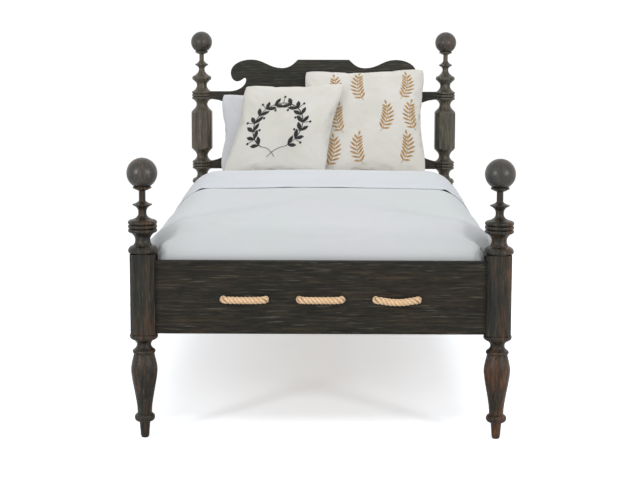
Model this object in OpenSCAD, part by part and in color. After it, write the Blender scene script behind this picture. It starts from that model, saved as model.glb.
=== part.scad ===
// Twin-size cannonball rope bed, made up with bedding.
// Millimetres. X runs across the bed, +Y toward the headboard and Z up from the floor.
// The origin is the middle of the bed on the floor.

/* [Posts] */
// Distance between the post centres across the bed
post_span_x = 1045; // [1045:1:1100]
// Distance between the post centres along the bed
post_span_y = 1960; // [1958:1:2040]
// Width of the square block that takes the rails
block_w = 72; // [66:1:80]
// Corner chamfer of that block
block_chamfer = 11; // [4:0.5:14]
// Length of the block above the rail
block_above_rail = 21; // [2:1:60]
// Length of the block below the rail
block_below_rail = 1; // [0.5:0.5:40]
// Height of the turned leg below the block
leg_h = 315; // [270:1:370]
// Largest radius of the vase in the leg
vase_r = 39; // [34:0.5:44]
// Radius of the flat tip of the toe
toe_r = 9.5; // [7:0.5:12]
// Radius of the bead and of the triple rings
ring_r = 43; // [40:0.5:46]
// Height of one of the triple rings
ring_h = 12; // [10:0.5:16]
// Radius of the slender neck below a ball
neck_r = 9.7; // [9:0.1:13]
// Length of that neck on a foot post
neck_h = 26; // [15:1:60]
// Diameter of the cannonball finial
ball_d = 90; // [70:1:110]
// Width of the second block, on a head post
head_block_w = 86; // [80:1:96]
// Corner chamfer of the second block
head_block_chamfer = 17; // [8:0.5:24]
// Height of the second block, its shoulders included
head_block_h = 186; // [150:1:230]
// Diameter of the dowel between ball and post
dowel_d = 10; // [6:0.5:12]
// Length of that dowel
dowel_l = 54; // [40:1:60]

/* [Rails] */
// Height of the rails
rail_h = 217; // [180:1:240]
// Thickness of the rails
rail_t = 26; // [22:0.5:32]
// How far the side rails stand inward of the post centres
side_rail_inset = 10.5; // [0:0.5:12]
// How far the head rail stands inward of the post centres
head_rail_inset = 8; // [4:0.5:12]
// Eased edge of the rails
rail_ease = 2; // [0.5:0.5:4]
// Length of the tenons of the end rails
tenon_l = 34; // [20:1:36]
// Thickness of the tenons
tenon_t = 14; // [8:0.5:16]
// Shoulder above and below a tenon
tenon_shoulder = 20; // [8:1:40]
// Clearance round tenons, plates and dowels
fit = 0.15; // [0.05:0.05:0.3]

/* [Headboard] */
// Thickness of the headboard panel and its crossbar
panel_t = 28; // [18:0.5:34]
// Height of the plateau above the arms of the panel
plateau_rise = 136; // [120:1:170]
// Half the width of the plateau
plateau_half = 110; // [80:1:130]
// Depth of the panel below its arms, at the middle
apron_drop = 66; // [40:1:120]
// Height of the arms of the panel and of the ends of the crossbar
arm_h = 33; // [26:0.5:35]
// Rise of the crossbar from its ends to the middle
crossbar_rise = 48; // [20:1:70]
// Depth to which the arms are let into the rings of the posts
housing = 13; // [8:0.5:18]

/* [Side rail hardware] */
// Width of the steel plates
plate_w = 20; // [16:0.5:21]
// Height of the steel plates
plate_h = 150; // [130:1:170]
// Thickness of the steel plates
plate_t = 3; // [2:0.5:4]
// Thickness of a hook
hook_t = 4; // [3:0.5:5]
// Distance between the two hooks of a plate
hook_pitch = 70; // [60:1:80]
// Drop of a hook behind the socket plate
hook_drop = 8; // [6:0.5:10]
// Shank diameter of the plate screws
screw_d = 3.8; // [3:0.1:4.5]
// Length of the plate screws
screw_l = 18; // [12:1:20]

/* [Rope] */
// Diameter of the rope
rope_d = 20; // [14:0.5:22]
// Clearance between the rope and the holes, all round
rope_hole_gap = 1; // [0.5:0.1:2]
// Gap between ropes where they cross
rope_cross_gap = 0.9; // [0.8:0.1:2]
// Distance of the rope net below the tops of the rails
rope_below_rail = 113; // [105:1:120]
// Width of a loop on the foot rail
loop_span = 124; // [90:1:140]
// Distance from one foot loop to the next
loop_pitch = 224; // [200:1:236]
// Number of crosswise strands, an even number
cross_strands = 12; // [8:2:12]
// Distance between crosswise strands
cross_pitch = 150; // [120:1:160]

/* [Bedding] */
// Gap between the mattress and each side rail
mattress_gap = 16.5; // [13:0.5:34]
// Length of the mattress
mattress_l = 1905; // [1880:1:1906]
// Thickness of the mattress
mattress_h = 174.5; // [150:0.5:200]
// Thickness of the duvet on top of the mattress
duvet_t = 25; // [20:0.5:35]
// Length of the duvet from the foot of the mattress to its folded head end
duvet_l = 1550; // [1450:1:1552]
// Thickness of the turned-down band of the top sheet
band_t = 13; // [6:0.5:16]
// Length of the turned-down band along the bed
band_l = 630; // [400:1:700]
// Side of the right cushion
right_cushion_w = 508; // [460:1:515]
// Side of the left cushion
left_cushion_w = 420; // [390:1:430]
// Thickness of the cushions
cushion_t = 92; // [60:1:96]
// Width of the sleeping pillow
pillow_w = 660; // [600:1:680]
// Height of the standing sleeping pillow
pillow_h = 335; // [280:1:345]
// Thickness of the sleeping pillow
pillow_t = 92; // [60:1:100]

/* [Hidden] */
$fn = 64;

LEFT = -1;
RIGHT = 1;
FOOT = -1;
HEAD = 1;
PAST = 1; // how far a cut runs past the face it opens
STUB = 1; // how far a turning reaches into the turning or block that it meets
SEAT = 0.3; // gap under soft pieces and ropes that rest on something

oak = "#39322c";
steel = "#8b8d90";
rope_tan = "#d8b48a";
linen = "#d6dadb";
sheet_white = "#e3e4ec";
pillow_white = "#eeeef0";
cushion_cream = "#ece8de";
ticking = "#e6e4de";

// ---- Heights and places that follow from the sizes above ----
post_x = post_span_x / 2;
post_y = post_span_y / 2;
block_half = block_w / 2;
block_h = rail_h + block_above_rail + block_below_rail;
rail_z = leg_h + block_below_rail;
rail_top = rail_z + rail_h;
joint_y = post_y - block_half; // where a side rail meets a post
side_rail_x = post_x - side_rail_inset;
head_rail_y = post_y - head_rail_inset;
headboard_front = post_y - panel_t / 2;
arm_end_x = post_x - ring_r + housing - fit;

// ---- Turned profiles ----
// A turning is a stack of steps, bottom to top. A step is
// [height, end radius] for a straight taper,
// [height, end radius, middle radius] for a bead, or
// [height, end radius, lower pull, upper pull] for a curve drawn toward two radii.
BEAD_CUTS = 8;
CURVE_CUTS = 8;

function bezier(a, b, c, d, t) =
    a * (1 - t) ^ 3 + 3 * b * t * (1 - t) ^ 2 + 3 * c * t ^ 2 * (1 - t) + d * t ^ 3;

function step_points(s, r, z) =
    len(s) == 2 ? [[s[1], z + s[0]]]
    : len(s) == 3 ? [
        for (i = [1 : BEAD_CUTS])
            let (a = 180 * i / BEAD_CUTS, t = (1 - cos(a)) / 2)
            [r + (s[1] - r) * t + (s[2] - (r + s[1]) / 2) * sin(a), z + s[0] * t]
    ]
    : [
        for (i = [1 : CURVE_CUTS])
            let (t = i / CURVE_CUTS)
            [bezier(r, s[2], s[3], s[1], t), z + s[0] * t]
    ];

function profile(steps, r, z = 0, i = 0) =
    i == len(steps) ? []
    : concat(step_points(steps[i], r, z), profile(steps, steps[i][1], z + steps[i][0], i + 1));

function turned_h(steps, i = 0) = i == len(steps) ? 0 : steps[i][0] + turned_h(steps, i + 1);

// The stack. At an end that meets another turning or a block, a stub reaches into it.
module turned(steps, start_r, below = STUB, above = STUB) {
    end_r = steps[len(steps) - 1][1];
    top = turned_h(steps);
    rotate_extrude() polygon(concat(
        [[0, -below], [start_r, -below]],
        below > 0 ? [[start_r, 0]] : [],
        profile(steps, start_r),
        above > 0 ? [[end_r, top + above]] : [],
        [[0, top + above]]
    ));
}

bead_r = ring_r - 1;           // the beads above and below the block
root_r = ring_r - 6;           // the grooves of a triple ring
block_end_r = block_half - 1;  // where a turning meets the block
cove_r = 20;                   // pull of the coves beside the block
seat_r = neck_r + 13.7;        // flat seat of a ball
triple_ring = [for (i = [1 : 3]) [ring_h, root_r, ring_r]];

leg_turning = [
    [6, 12.5], [43, 16.3], [1, 21],
    [23, 21, 30.5],
    [leg_h - 188, vase_r, 22, vase_r - 4],
    [54, 30.5, vase_r + 1.5, 34],
    [3, 30.5], [11, 29, 34],
    [29, 31, 18, 18],
    [18, block_end_r, bead_r]
];
shoulder_turning = concat(
    [[24, 28, ring_r], [35, 32, 20, 19], [3, root_r]],
    triple_ring
);
// A thin waist, a collar and the flat seat of the ball
waist_and_collar = [[4, 17, neck_r, 12], [4, seat_r + 0.6], [7, seat_r, seat_r + 4.1]];
foot_top_turning = concat(
    [
        [25, 12, 10, 12],
        [19, 26, 12, 15], [4, 26, 29], [11, neck_r, 15, neck_r + 0.3],
        [neck_h, neck_r]
    ],
    waist_and_collar
);
lower_cove_turning = [[39, 31, cove_r, cove_r]];
head_top_turning = concat(
    [[38, root_r, cove_r, cove_r]],
    triple_ring,
    [
        [24, 21.5, 26, 21.5], [14, 27, 21.5, 22], [8, 34, 30, 33], [19, 34, 41],
        [29, 12.3, 17, 12.3],
        [15, 25, 12.3, 15], [7, 25, 28], [18, neck_r, 14, neck_r + 0.3],
        [neck_h - 5, neck_r]
    ],
    waist_and_collar
);

block_top = leg_h + block_h;
rings_top = block_top + turned_h(shoulder_turning);
foot_seat_z = rings_top + turned_h(foot_top_turning);
head_block_z = rings_top + turned_h(lower_cove_turning);
head_block_top = head_block_z + head_block_h;
head_seat_z = head_block_top + turned_h(head_top_turning);
crossbar_z = rings_top - 1.5 * ring_h;                      // middle of the lower rings
arm_z = head_block_top + head_top_turning[0][0] + 1.5 * ring_h; // middle of the upper rings

// ---- Placing ----
// Pieces of the four corners are drawn at the right side of the head end, and mirrored from there.
module at_corner(side, end) {
    mirror([side == LEFT ? 1 : 0, 0, 0])
        mirror([0, end == FOOT ? 1 : 0, 0])
            children();
}

module each_corner() {
    for (side = [LEFT, RIGHT], end = [FOOT, HEAD])
        at_corner(side, end) children();
}

// A box centred across X and Y and standing on z = 0
module standing_box(size) {
    translate([-size.x / 2, -size.y / 2, 0]) cube(size);
}

// An outline in Y and Z, given a thickness along X
module across_x(thickness) {
    rotate([90, 0, 90]) translate([0, 0, -thickness / 2]) linear_extrude(thickness) children();
}

// An outline in X and Z, given a thickness along Y
module across_y(thickness) {
    rotate([90, 0, 0]) translate([0, 0, -thickness / 2]) linear_extrude(thickness) children();
}

// ---- Posts ----
function chamfered_square(half, c) = [
    [half, half - c], [half - c, half], [c - half, half], [-half, half - c],
    [-half, c - half], [c - half, -half], [half - c, -half], [half, c - half]
];

module chamfered_block(w, c, h) {
    linear_extrude(h) polygon(chamfered_square(w / 2, c));
}

// Leg, rail block and lower triple ring: the same on all four posts
module lower_post() {
    turned(leg_turning, toe_r, below = 0);
    translate([0, 0, leg_h]) chamfered_block(block_w, block_chamfer, block_h);
    translate([0, 0, block_top]) turned(shoulder_turning, block_end_r);
}

// The second block of a head post, its shoulders turned at 45 degrees
module head_block() {
    core_r = 31;
    corner_r = head_block_w / 2 + 10;
    intersection() {
        chamfered_block(head_block_w, head_block_chamfer, head_block_h);
        turned([
            [corner_r - core_r, corner_r],
            [head_block_h - 2 * (corner_r - core_r), corner_r],
            [corner_r - core_r, core_r]
        ], core_r);
    }
}

// Mortise for the tenon of an end rail that stands inset from the post centre
module rail_mortise(inset) {
    depth = tenon_l + 1;
    translate([-block_half - PAST, -inset - tenon_t / 2 - fit, rail_z + tenon_shoulder - fit])
        cube([depth + PAST, tenon_t + 2 * fit, rail_h - 2 * tenon_shoulder + 2 * fit]);
}

// Housing for an arm of the headboard, at height z
module arm_housing(z) {
    translate([-ring_r - PAST, -panel_t / 2 - fit, z - arm_h / 2 - fit])
        cube([housing + PAST, panel_t + 2 * fit, arm_h + 2 * fit]);
}

dowel_in_post = dowel_l / 2 - 2;

module dowel_hole_in_post(seat_z) {
    translate([0, 0, seat_z - dowel_in_post - 1]) cylinder(h = dowel_in_post + 1 + PAST, d = dowel_d + 2 * fit);
}

module foot_post(side) {
    color(oak) at_corner(side, FOOT) translate([post_x, post_y, 0]) difference() {
        union() {
            lower_post();
            translate([0, 0, rings_top]) turned(foot_top_turning, root_r, above = 0);
        }
        rail_mortise(0);
        socket_cut();
        dowel_hole_in_post(foot_seat_z);
    }
}

module head_post(side) {
    color(oak) at_corner(side, HEAD) translate([post_x, post_y, 0]) difference() {
        union() {
            lower_post();
            translate([0, 0, rings_top]) turned(lower_cove_turning, root_r);
            translate([0, 0, head_block_z]) head_block();
            translate([0, 0, head_block_top]) turned(head_top_turning, 31, above = 0);
        }
        rail_mortise(head_rail_inset);
        socket_cut();
        arm_housing(crossbar_z);
        arm_housing(arm_z);
        dowel_hole_in_post(head_seat_z);
    }
}

// ---- Finials ----
ball_r = ball_d / 2;
ball_lift = sqrt(ball_r ^ 2 - seat_r ^ 2); // from the seat to the middle of the ball

module finial(side, end, seat_z) {
    color(oak) at_corner(side, end) translate([post_x, post_y, seat_z]) difference() {
        translate([0, 0, ball_lift]) sphere(r = ball_r);
        mirror([0, 0, 1]) cylinder(h = ball_r, r = ball_r);
        translate([0, 0, -PAST]) cylinder(h = dowel_l - dowel_in_post + 1 + PAST, d = dowel_d + 2 * fit);
    }
}

module finial_dowels() {
    color("#b08d62") for (side = [LEFT, RIGHT], place = [[FOOT, foot_seat_z], [HEAD, head_seat_z]])
        at_corner(side, place[0]) translate([post_x, post_y, place[1] - dowel_in_post])
            cylinder(h = dowel_l, d = dowel_d);
}

// ---- Steel hooks and sockets between the side rails and the posts ----
plate_z = rail_z + rail_h / 2;
hook_h = 18;      // height of a hook's neck
hook_throat = 5;  // thickness of the hook behind the socket plate
hook_play = 1;
screw_head_h = 2.2;
socket_screw_z = plate_h / 2 - 10;
hook_screw_z = plate_h / 2 - 26;

// A countersunk screw that points along +Y, its head flush at y = 0
module plate_screw(grow) {
    rotate([-90, 0, 0]) {
        cylinder(h = screw_head_h + grow, r1 = screw_d + grow, r2 = screw_d / 2 + grow);
        cylinder(h = screw_l + grow, d = screw_d + 2 * grow);
    }
}

// Everything that is let into a post for its socket plate, in the post's own place
module socket_cut() {
    translate([-side_rail_inset, -block_half, plate_z]) {
        translate([-plate_w / 2 - fit, -PAST, -plate_h / 2 - fit])
            cube([plate_w + 2 * fit, plate_t + fit + PAST, plate_h + 2 * fit]);
        for (z = [-1, 1] * hook_pitch / 2) {
            reach_z = hook_h / 2 + hook_drop + hook_play;
            translate([-hook_t / 2 - hook_play, 0, z - reach_z])
                cube([hook_t + 2 * hook_play, plate_t + hook_throat + 3 * hook_play, 2 * reach_z]);
        }
        for (z = [-1, 1] * socket_screw_z) translate([0, 0, z]) plate_screw(fit);
    }
}

module socket_plate() {
    difference() {
        translate([-plate_w / 2, 0, -plate_h / 2]) cube([plate_w, plate_t, plate_h]);
        for (z = [-1, 1] * hook_pitch / 2)
            translate([-hook_t / 2 - hook_play / 2, -PAST, z - hook_h / 2 - hook_play])
                cube([hook_t + hook_play, plate_t + 2 * PAST, hook_h + hook_drop + 2 * hook_play]);
        for (z = [-1, 1] * socket_screw_z) translate([0, 0, z]) plate_screw(fit);
    }
}

module hook_plate() {
    back = plate_t + hook_play;
    difference() {
        union() {
            translate([-plate_w / 2, -plate_t, -plate_h / 2]) cube([plate_w, plate_t, plate_h]);
            for (z = [-1, 1] * hook_pitch / 2) translate([0, 0, z]) across_x(hook_t) polygon([
                [-PAST, hook_h / 2], [back + hook_throat, hook_h / 2],
                [back + hook_throat, -hook_h / 2 - hook_drop + 3], [back + hook_throat - 2, -hook_h / 2 - hook_drop],
                [back, -hook_h / 2 - hook_drop], [back, -hook_h / 2], [-PAST, -hook_h / 2]
            ]);
        }
        for (z = [-1, 1] * hook_screw_z) translate([0, 0, z]) mirror([0, 1, 0]) plate_screw(fit);
    }
}

module at_rail_joint() {
    translate([side_rail_x, joint_y, plate_z]) children();
}

module post_socket_plates() {
    color(steel) each_corner() at_rail_joint() socket_plate();
}

module rail_hook_plates() {
    color(steel) each_corner() at_rail_joint() hook_plate();
}

module socket_plate_screws() {
    color(steel) each_corner() at_rail_joint()
        for (z = [-1, 1] * socket_screw_z) translate([0, 0, z]) plate_screw(0);
}

module hook_plate_screws() {
    color(steel) each_corner() at_rail_joint()
        for (z = [-1, 1] * hook_screw_z) translate([0, 0, z]) mirror([0, 1, 0]) plate_screw(0);
}

// ---- Rails ----
rope_hole_r = rope_d / 2 + rope_hole_gap;
rope_z = rail_top - rope_below_rail;
strand_x = [for (loop = [-1 : 1], edge = [-1, 1]) loop * loop_pitch + edge * loop_span / 2];
strand_y = [for (j = [0 : cross_strands - 1]) (j - (cross_strands - 1) / 2) * cross_pitch];

// Cross-section of a rail with its long edges eased, standing on z = 0
module rail_section() {
    w = rail_t / 2;
    polygon([
        [-w, rail_ease], [rail_ease - w, 0], [w - rail_ease, 0], [w, rail_ease],
        [w, rail_h - rail_ease], [w - rail_ease, rail_h], [rail_ease - w, rail_h], [-w, rail_h - rail_ease]
    ]);
}

module end_rail(y) {
    length = post_span_x - block_w;
    color(oak) translate([0, y, rail_z]) difference() {
        union() {
            across_x(length) rail_section();
            translate([0, 0, tenon_shoulder])
                standing_box([length + 2 * tenon_l, tenon_t, rail_h - 2 * tenon_shoulder]);
        }
        for (x = strand_x) translate([x, 0, rope_z - rail_z]) rotate([90, 0, 0])
            cylinder(h = rail_t + 2 * PAST, r = rope_hole_r, center = true);
    }
}

module side_rail(side) {
    color(oak) mirror([side == LEFT ? 1 : 0, 0, 0]) difference() {
        translate([side_rail_x, 0, rail_z]) rotate([0, 0, 90])
            across_x(2 * joint_y) rail_section();
        for (y = strand_y) translate([side_rail_x, y, rope_z]) rotate([0, 90, 0])
            cylinder(h = rail_t + 2 * PAST, r = rope_hole_r, center = true);
        for (end = [FOOT, HEAD]) at_corner(RIGHT, end) at_rail_joint() {
            translate([-plate_w / 2 - fit, -plate_t - fit, -plate_h / 2 - fit])
                cube([plate_w + 2 * fit, plate_t + fit + PAST, plate_h + 2 * fit]);
            for (z = [-1, 1] * hook_screw_z) translate([0, 0, z]) mirror([0, 1, 0]) plate_screw(fit);
        }
    }
}

// ---- Headboard ----
OUTLINE_CUTS = 8;

// Points of a chain of Bezier curves: a start, then [pull, pull, end] for each curve
function chain(start, curves, i = 0) =
    i == len(curves) ? [start]
    : let (c = curves[i]) concat(
        [for (k = [0 : OUTLINE_CUTS - 1]) bezier(start, c[0], c[1], c[2], k / OUTLINE_CUTS)],
        chain(c[2], curves, i + 1)
    );

// Right half of the scrolled top edge, from the arm inward. Heights are above the middle of the arm.
arm_top = arm_h / 2;
scroll_top = plateau_rise + arm_top;
scroll_edge = chain([407, arm_top], [
    [[365, arm_top], [332, arm_top + 24], [331.5, arm_top + 49]],                   // sweep up from the arm
    [[331.5, arm_top + 57], [337, arm_top + 60], [342, arm_top + 56]],              // tip of the hook
    [[350, arm_top + 50], [357, arm_top + 43], [369, arm_top + 43]],                // under the lobe
    [[386, arm_top + 43], [397, arm_top + 60], [397, arm_top + 80]],                // round its outer side
    [[397, arm_top + 112], [360, scroll_top], [310, scroll_top]],                   // over its top
    [[255, scroll_top], [235, scroll_top - 36], [178, scroll_top - 36]],            // down to the dip
    [[145, scroll_top - 36], [plateau_half + 18, scroll_top - 18], [plateau_half, scroll_top]]
]);
apron_edge = chain([0, -arm_top - apron_drop], [
    [[120, -arm_top - apron_drop], [230, -arm_top - apron_drop], [300, -arm_top - apron_drop]],
    [[375, -arm_top - apron_drop], [395, -arm_top - 6], [post_x - ring_r - 4, -arm_top]]
]);

function mirrored(points) = [for (i = [len(points) - 1 : -1 : 0]) [-points[i].x, points[i].y]];

module headboard_panel() {
    right = concat(apron_edge, [[arm_end_x, -arm_top], [arm_end_x, arm_top]], scroll_edge);
    color(oak) translate([0, post_y, arm_z]) across_y(panel_t)
        polygon(concat(right, mirrored([for (i = [1 : len(right) - 1]) right[i]])));
}

module headboard_crossbar() {
    half_h = arm_h / 2;
    crown = half_h + crossbar_rise;
    right = concat(
        [[arm_end_x, -half_h], [arm_end_x, half_h]],
        chain([arm_end_x - 12, half_h], [
            [[430, half_h + 8], [400, crown], [300, crown]]
        ])
    );
    color(oak) translate([0, post_y, crossbar_z]) across_y(panel_t)
        polygon(concat(right, mirrored(right)));
}

// ---- Swept skins ----
// A closed skin over rings of points. Each ring turns from its local up toward its local right,
// and its first half faces its second half, so that both ends close with a strip of quads.
module skin(rings) {
    m = len(rings[0]);
    n = len(rings);
    last = (n - 1) * m;
    sides = [
        for (k = [0 : n - 2], j = [0 : m - 1])
            let (a = k * m + j, b = k * m + (j + 1) % m, c = b + m, d = a + m)
            each [[a, c, b], [a, d, c]]
    ];
    ends = [
        for (i = [0 : m / 2 - 2])
            let (a = i, b = i + 1, c = m - 2 - i, d = m - 1 - i)
            each [
                [a, b, c], if (c != d) [a, c, d],
                [last + a, last + c, last + b], [last + a, last + d, last + c]
            ]
    ];
    polyhedron(points = [for (ring = rings) each ring], faces = concat(sides, ends));
}

// ---- Rope ----
ROPE_SIDES = 8;
ELBOW_CUTS = 3;
rope_r = rope_d / 2;
rope_off_face = 0.4;                       // gap between a loop and the rail
bend_r = rope_r + rope_off_face;           // a loop turns out of its hole on this radius
weave = (rope_d + rope_cross_gap) / 2;     // a strand's rise or fall at a crossing
foot_face = -post_y - rail_t / 2;
head_face = head_rail_y + rail_t / 2;
side_face = side_rail_x + rail_t / 2;
rail_inner_y = post_y - rail_t / 2;

// A lengthwise strand passes over at every second crossing, and a crosswise strand at the others
function over(i, j) = (i + j) % 2 == 0 ? weave : -weave;

// From hole a round to hole b along the face of a rail, bulging along out
function loop(a, b, out) =
    let (along = (b - a) / norm(b - a))
    concat(
        [for (k = [0 : ELBOW_CUTS]) let (t = 90 * k / ELBOW_CUTS)
            a + bend_r * (1 - cos(t)) * along + bend_r * sin(t) * out],
        [for (k = [ELBOW_CUTS : -1 : 0]) let (t = 90 * k / ELBOW_CUTS)
            b - bend_r * (1 - cos(t)) * along + bend_r * sin(t) * out]
    );

// One strand between the rails, without its ends
function long_strand(i) =
    let (go = i % 2 == 0 ? -1 : 1,
        points = concat(
            [[strand_x[i], -rail_inner_y, rope_z]],
            [for (j = [0 : cross_strands - 1]) [strand_x[i], strand_y[j], rope_z + over(i, j)]],
            [[strand_x[i], head_rail_y - rail_t / 2, rope_z]]
        ))
    go > 0 ? points : [for (k = [len(points) - 1 : -1 : 0]) points[k]];

function cross_strand(j) =
    let (go = j % 2 == 0 ? 1 : -1,
        inner = side_rail_x - rail_t / 2,
        points = concat(
            [[-inner, strand_y[j], rope_z]],
            [for (i = [0 : len(strand_x) - 1]) [strand_x[i], strand_y[j], rope_z - over(i, j)]],
            [[inner, strand_y[j], rope_z]]
        ))
    go > 0 ? points : [for (k = [len(points) - 1 : -1 : 0]) points[k]];

long_path = concat(
    [[strand_x[0], head_face + rope_off_face, rope_z]],
    [
        for (i = [0 : 5]) each concat(
            long_strand(i),
            i == 5 ? []
            : i % 2 == 0
                ? loop([strand_x[i], foot_face, rope_z], [strand_x[i + 1], foot_face, rope_z], [0, -1, 0])
                : loop([strand_x[i], head_face, rope_z], [strand_x[i + 1], head_face, rope_z], [0, 1, 0])
        )
    ],
    [[strand_x[5], head_face + rope_off_face, rope_z]]
);

cross_path = concat(
    [[-side_face - rope_off_face, strand_y[0], rope_z]],
    [
        for (j = [0 : cross_strands - 1]) each concat(
            cross_strand(j),
            j == cross_strands - 1 ? []
            : let (side = j % 2 == 0 ? 1 : -1)
                loop([side * side_face, strand_y[j], rope_z], [side * side_face, strand_y[j + 1], rope_z],
                    [side, 0, 0])
        )
    ],
    [[-side_face - rope_off_face, strand_y[cross_strands - 1], rope_z]]
);

function unit(v) = v / norm(v);

function rope_ring(path, k) =
    let (
        back = k == 0 ? path[1] - path[0] : path[k] - path[k - 1],
        ahead = k == len(path) - 1 ? back : path[k + 1] - path[k],
        go = unit(unit(back) + unit(ahead)),
        right = unit(cross(go, [0, 0, 1])),
        up = cross(right, go)
    )
    [for (s = [0 : ROPE_SIDES - 1]) let (a = 360 * s / ROPE_SIDES)
        path[k] + rope_r * (cos(a) * up + sin(a) * right)];

module rope(path) {
    color(rope_tan) skin([for (k = [0 : len(path) - 1]) rope_ring(path, k)]);
}

// Least gap between two ropes at a crossing, measured on points along both
half_way = 10;
cross_gap = min([
    for (u = [-half_way : half_way], v = [-half_way : half_way])
        norm([
            u, v,
            2 * weave - 2 * weave * abs(v) / cross_pitch - 2 * weave * abs(u) / (loop_pitch - loop_span)
        ]) - rope_d
]);
echo(str("Least gap between crossing ropes: ", cross_gap, " mm"));

// A stopper knot drawn up tight against the rail, with the whipped end of the rope
knot_r = rope_d;
knot_turning = [[1.4 * rope_d, 0.48 * rope_d, knot_r], [0.3 * rope_d, 0.52 * rope_d]];

module knot() {
    turned(knot_turning, 0.6 * rope_d, below = 0, above = 0);
}

module rope_stopper_knots() {
    color(rope_tan) {
        for (x = [strand_x[0], strand_x[5]])
            translate([x, head_face + rope_off_face, rope_z]) rotate([-90, 0, 0]) knot();
        for (y = [strand_y[0], strand_y[cross_strands - 1]])
            translate([-side_face - rope_off_face, y, rope_z]) rotate([0, -90, 0]) knot();
    }
}

// ---- Mattress ----
mattress_z = rope_z + weave + rope_r + SEAT;
bed_top = mattress_z + mattress_h;
mattress_w = 2 * (side_rail_x - rail_t / 2 - mattress_gap);
mattress_half = mattress_w / 2;
mattress_foot = -mattress_l / 2;
mattress_corner = 60; // corner radius seen from above
mattress_edge = 50;   // radius of the long edges

module mattress() {
    corner = concat(
        [[0, 0], [mattress_corner - mattress_edge / 2, 0]],
        [for (a = [-60 : 30 : 0])
            [mattress_corner + (cos(a) - 1) * mattress_edge / 2, (1 + sin(a)) * mattress_edge / 2]],
        [for (a = [0 : 15 : 90])
            [mattress_corner + (cos(a) - 1) * mattress_edge, mattress_h + (sin(a) - 1) * mattress_edge]],
        [[0, mattress_h]]
    );
    color(ticking) translate([0, 0, mattress_z]) hull()
        for (x = [-1, 1], y = [-1, 1])
            translate([x * (mattress_half - mattress_corner), y * (mattress_l / 2 - mattress_corner), 0])
                rotate_extrude($fn = 32) polygon(corner);
}

// ---- Duvet and the turned-down band ----
// Places along the bed are distances from the foot end of the mattress, and places across it are
// distances past the outer face of a side rail.
SIDE_CUTS = 6;
tuck_t = 12.5;     // the duvet between the mattress and the foot rail
tuck_back = 0.8;
tuck_depth = 34;   // how far it is tucked below the top of the rail
tuck_taper = 50;   // the tucked part is this much narrower at its lower edge
hang = 78;         // how far the sides hang below the top of the rail
duvet_top = bed_top + SEAT + duvet_t;
crown_h = 5;       // the duvet is a little higher along its middle
fold_depth = 3;    // soft waves along the hanging sides
fold_pitch = 330;
flap_step = 80;
flap_start = 80;   // the sides hang past the rails from here on
flap_full = flap_start + 6;
corner_end = 114;  // and at their full depth from here on

foot_stations = [-tuck_t, -tuck_back, -0.5, 4.5, 12.5, 22.5, 37.5, 52.5, flap_start, flap_full, 100, corner_end];
flap_count = floor((duvet_l - corner_end) / flap_step);
flap_stations = [for (k = [1 : flap_count]) corner_end + k * (duvet_l - corner_end) / flap_count];
stations = concat(foot_stations, flap_stations);

function tucked(d) = d <= -tuck_back;
// How much fuller the sides are toward the head, where the duvet is folded back under itself
function fullness(d) = lookup(d, [[850, 0], [1350, 1]]);
// How square the corners are at the foot: 0 at the foot rail and 1 along the sides
function softness(d) = lookup(d, [[4.5, 0], [67.5, 1]]);
function mix(a, b, t) = a + (b - a) * t;
function wave(d) = d <= corner_end ? 0 : fold_depth * sin(360 * (d - corner_end) / fold_pitch) * (1 - fullness(d));

function outer_reach(d) = side_face + wave(d) + lookup(d, [
    [-tuck_t, -70], [-0.5, -57], [12.5, -42], [52.5, 3], [flap_start, 30], [flap_full, 31]
]);
function inner_reach(d) = side_face + lookup(d, [
    [-tuck_t, -85], [-0.5, -72], [12.5, -57], [52.5, -13], [flap_start, 7]
]);
function hem_z(d) = tucked(d) ? rail_top - tuck_depth : rail_top + lookup(d, [
    [-0.5, 12], [37.5, 9], [flap_start, 7], [flap_full, -hang + 5], [corner_end, -hang]
]);
function top_z(d) = duvet_top + lookup(d, [
    [-tuck_t, -93], [-tuck_back, -53], [4.5, -37], [12.5, -25.5], [22.5, -16], [37.5, -7.5], [52.5, -2.5],
    [67.5, -0.5], [corner_end, 0]
]);
function under_z(d) = tucked(d) ? hem_z(d) : bed_top + lookup(d, [
    [-0.5, -40], [4.5, -26], [12.5, -14], [22.5, -5.5], [37.5, 0.2], [52.5, SEAT]
]);

// Right half of the outside of the duvet at station d, from the middle to the hem, grown by g
function outer_half(d, g = 0) =
    let (
        reach = outer_reach(d), hem = hem_z(d), top = top_z(d) + g, soft = softness(d), full = fullness(d),
        p0 = [reach - mix(30, mix(161, 150, full), soft), top],
        p1 = [reach - mix(12, mix(81, 50, full), soft) + g * 0.45, top],
        p2 = [reach - mix(2, mix(11, 2, full), soft) + g, hem + (top - g - hem) * 0.62 + g * 0.62],
        p3 = [reach + g - (tucked(d) ? tuck_taper : 0), hem]
    )
    concat([[0, top + crown_h * soft]], [for (k = [0 : SIDE_CUTS]) bezier(p0, p1, p2, p3, k / SIDE_CUTS)]);

// The same for the underside, from the middle to the inner edge of the hem
function under_half(d) =
    let (
        reach = inner_reach(d) - (tucked(d) ? tuck_taper : 0), hem = hem_z(d), top = under_z(d), soft = softness(d),
        edge = tucked(d) ? hem : max(hem, rail_top + 3),
        p0 = [reach - mix(20, 87, soft), top],
        p1 = [reach - mix(8, 52, soft), top],
        p2 = [reach - mix(2, 12, soft), edge + (top - edge) * mix(0.6, 0.31, soft)],
        p3 = [reach, edge]
    )
    concat(
        [[0, top]],
        [for (k = [0 : SIDE_CUTS - 1]) bezier(p0, p1, p2, p3, k / (SIDE_CUTS - 1))],
        [[reach, hem]]
    );

function left_of(points) = [for (i = [len(points) - 1 : -1 : 1]) [-points[i].x, points[i].y]];

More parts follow.
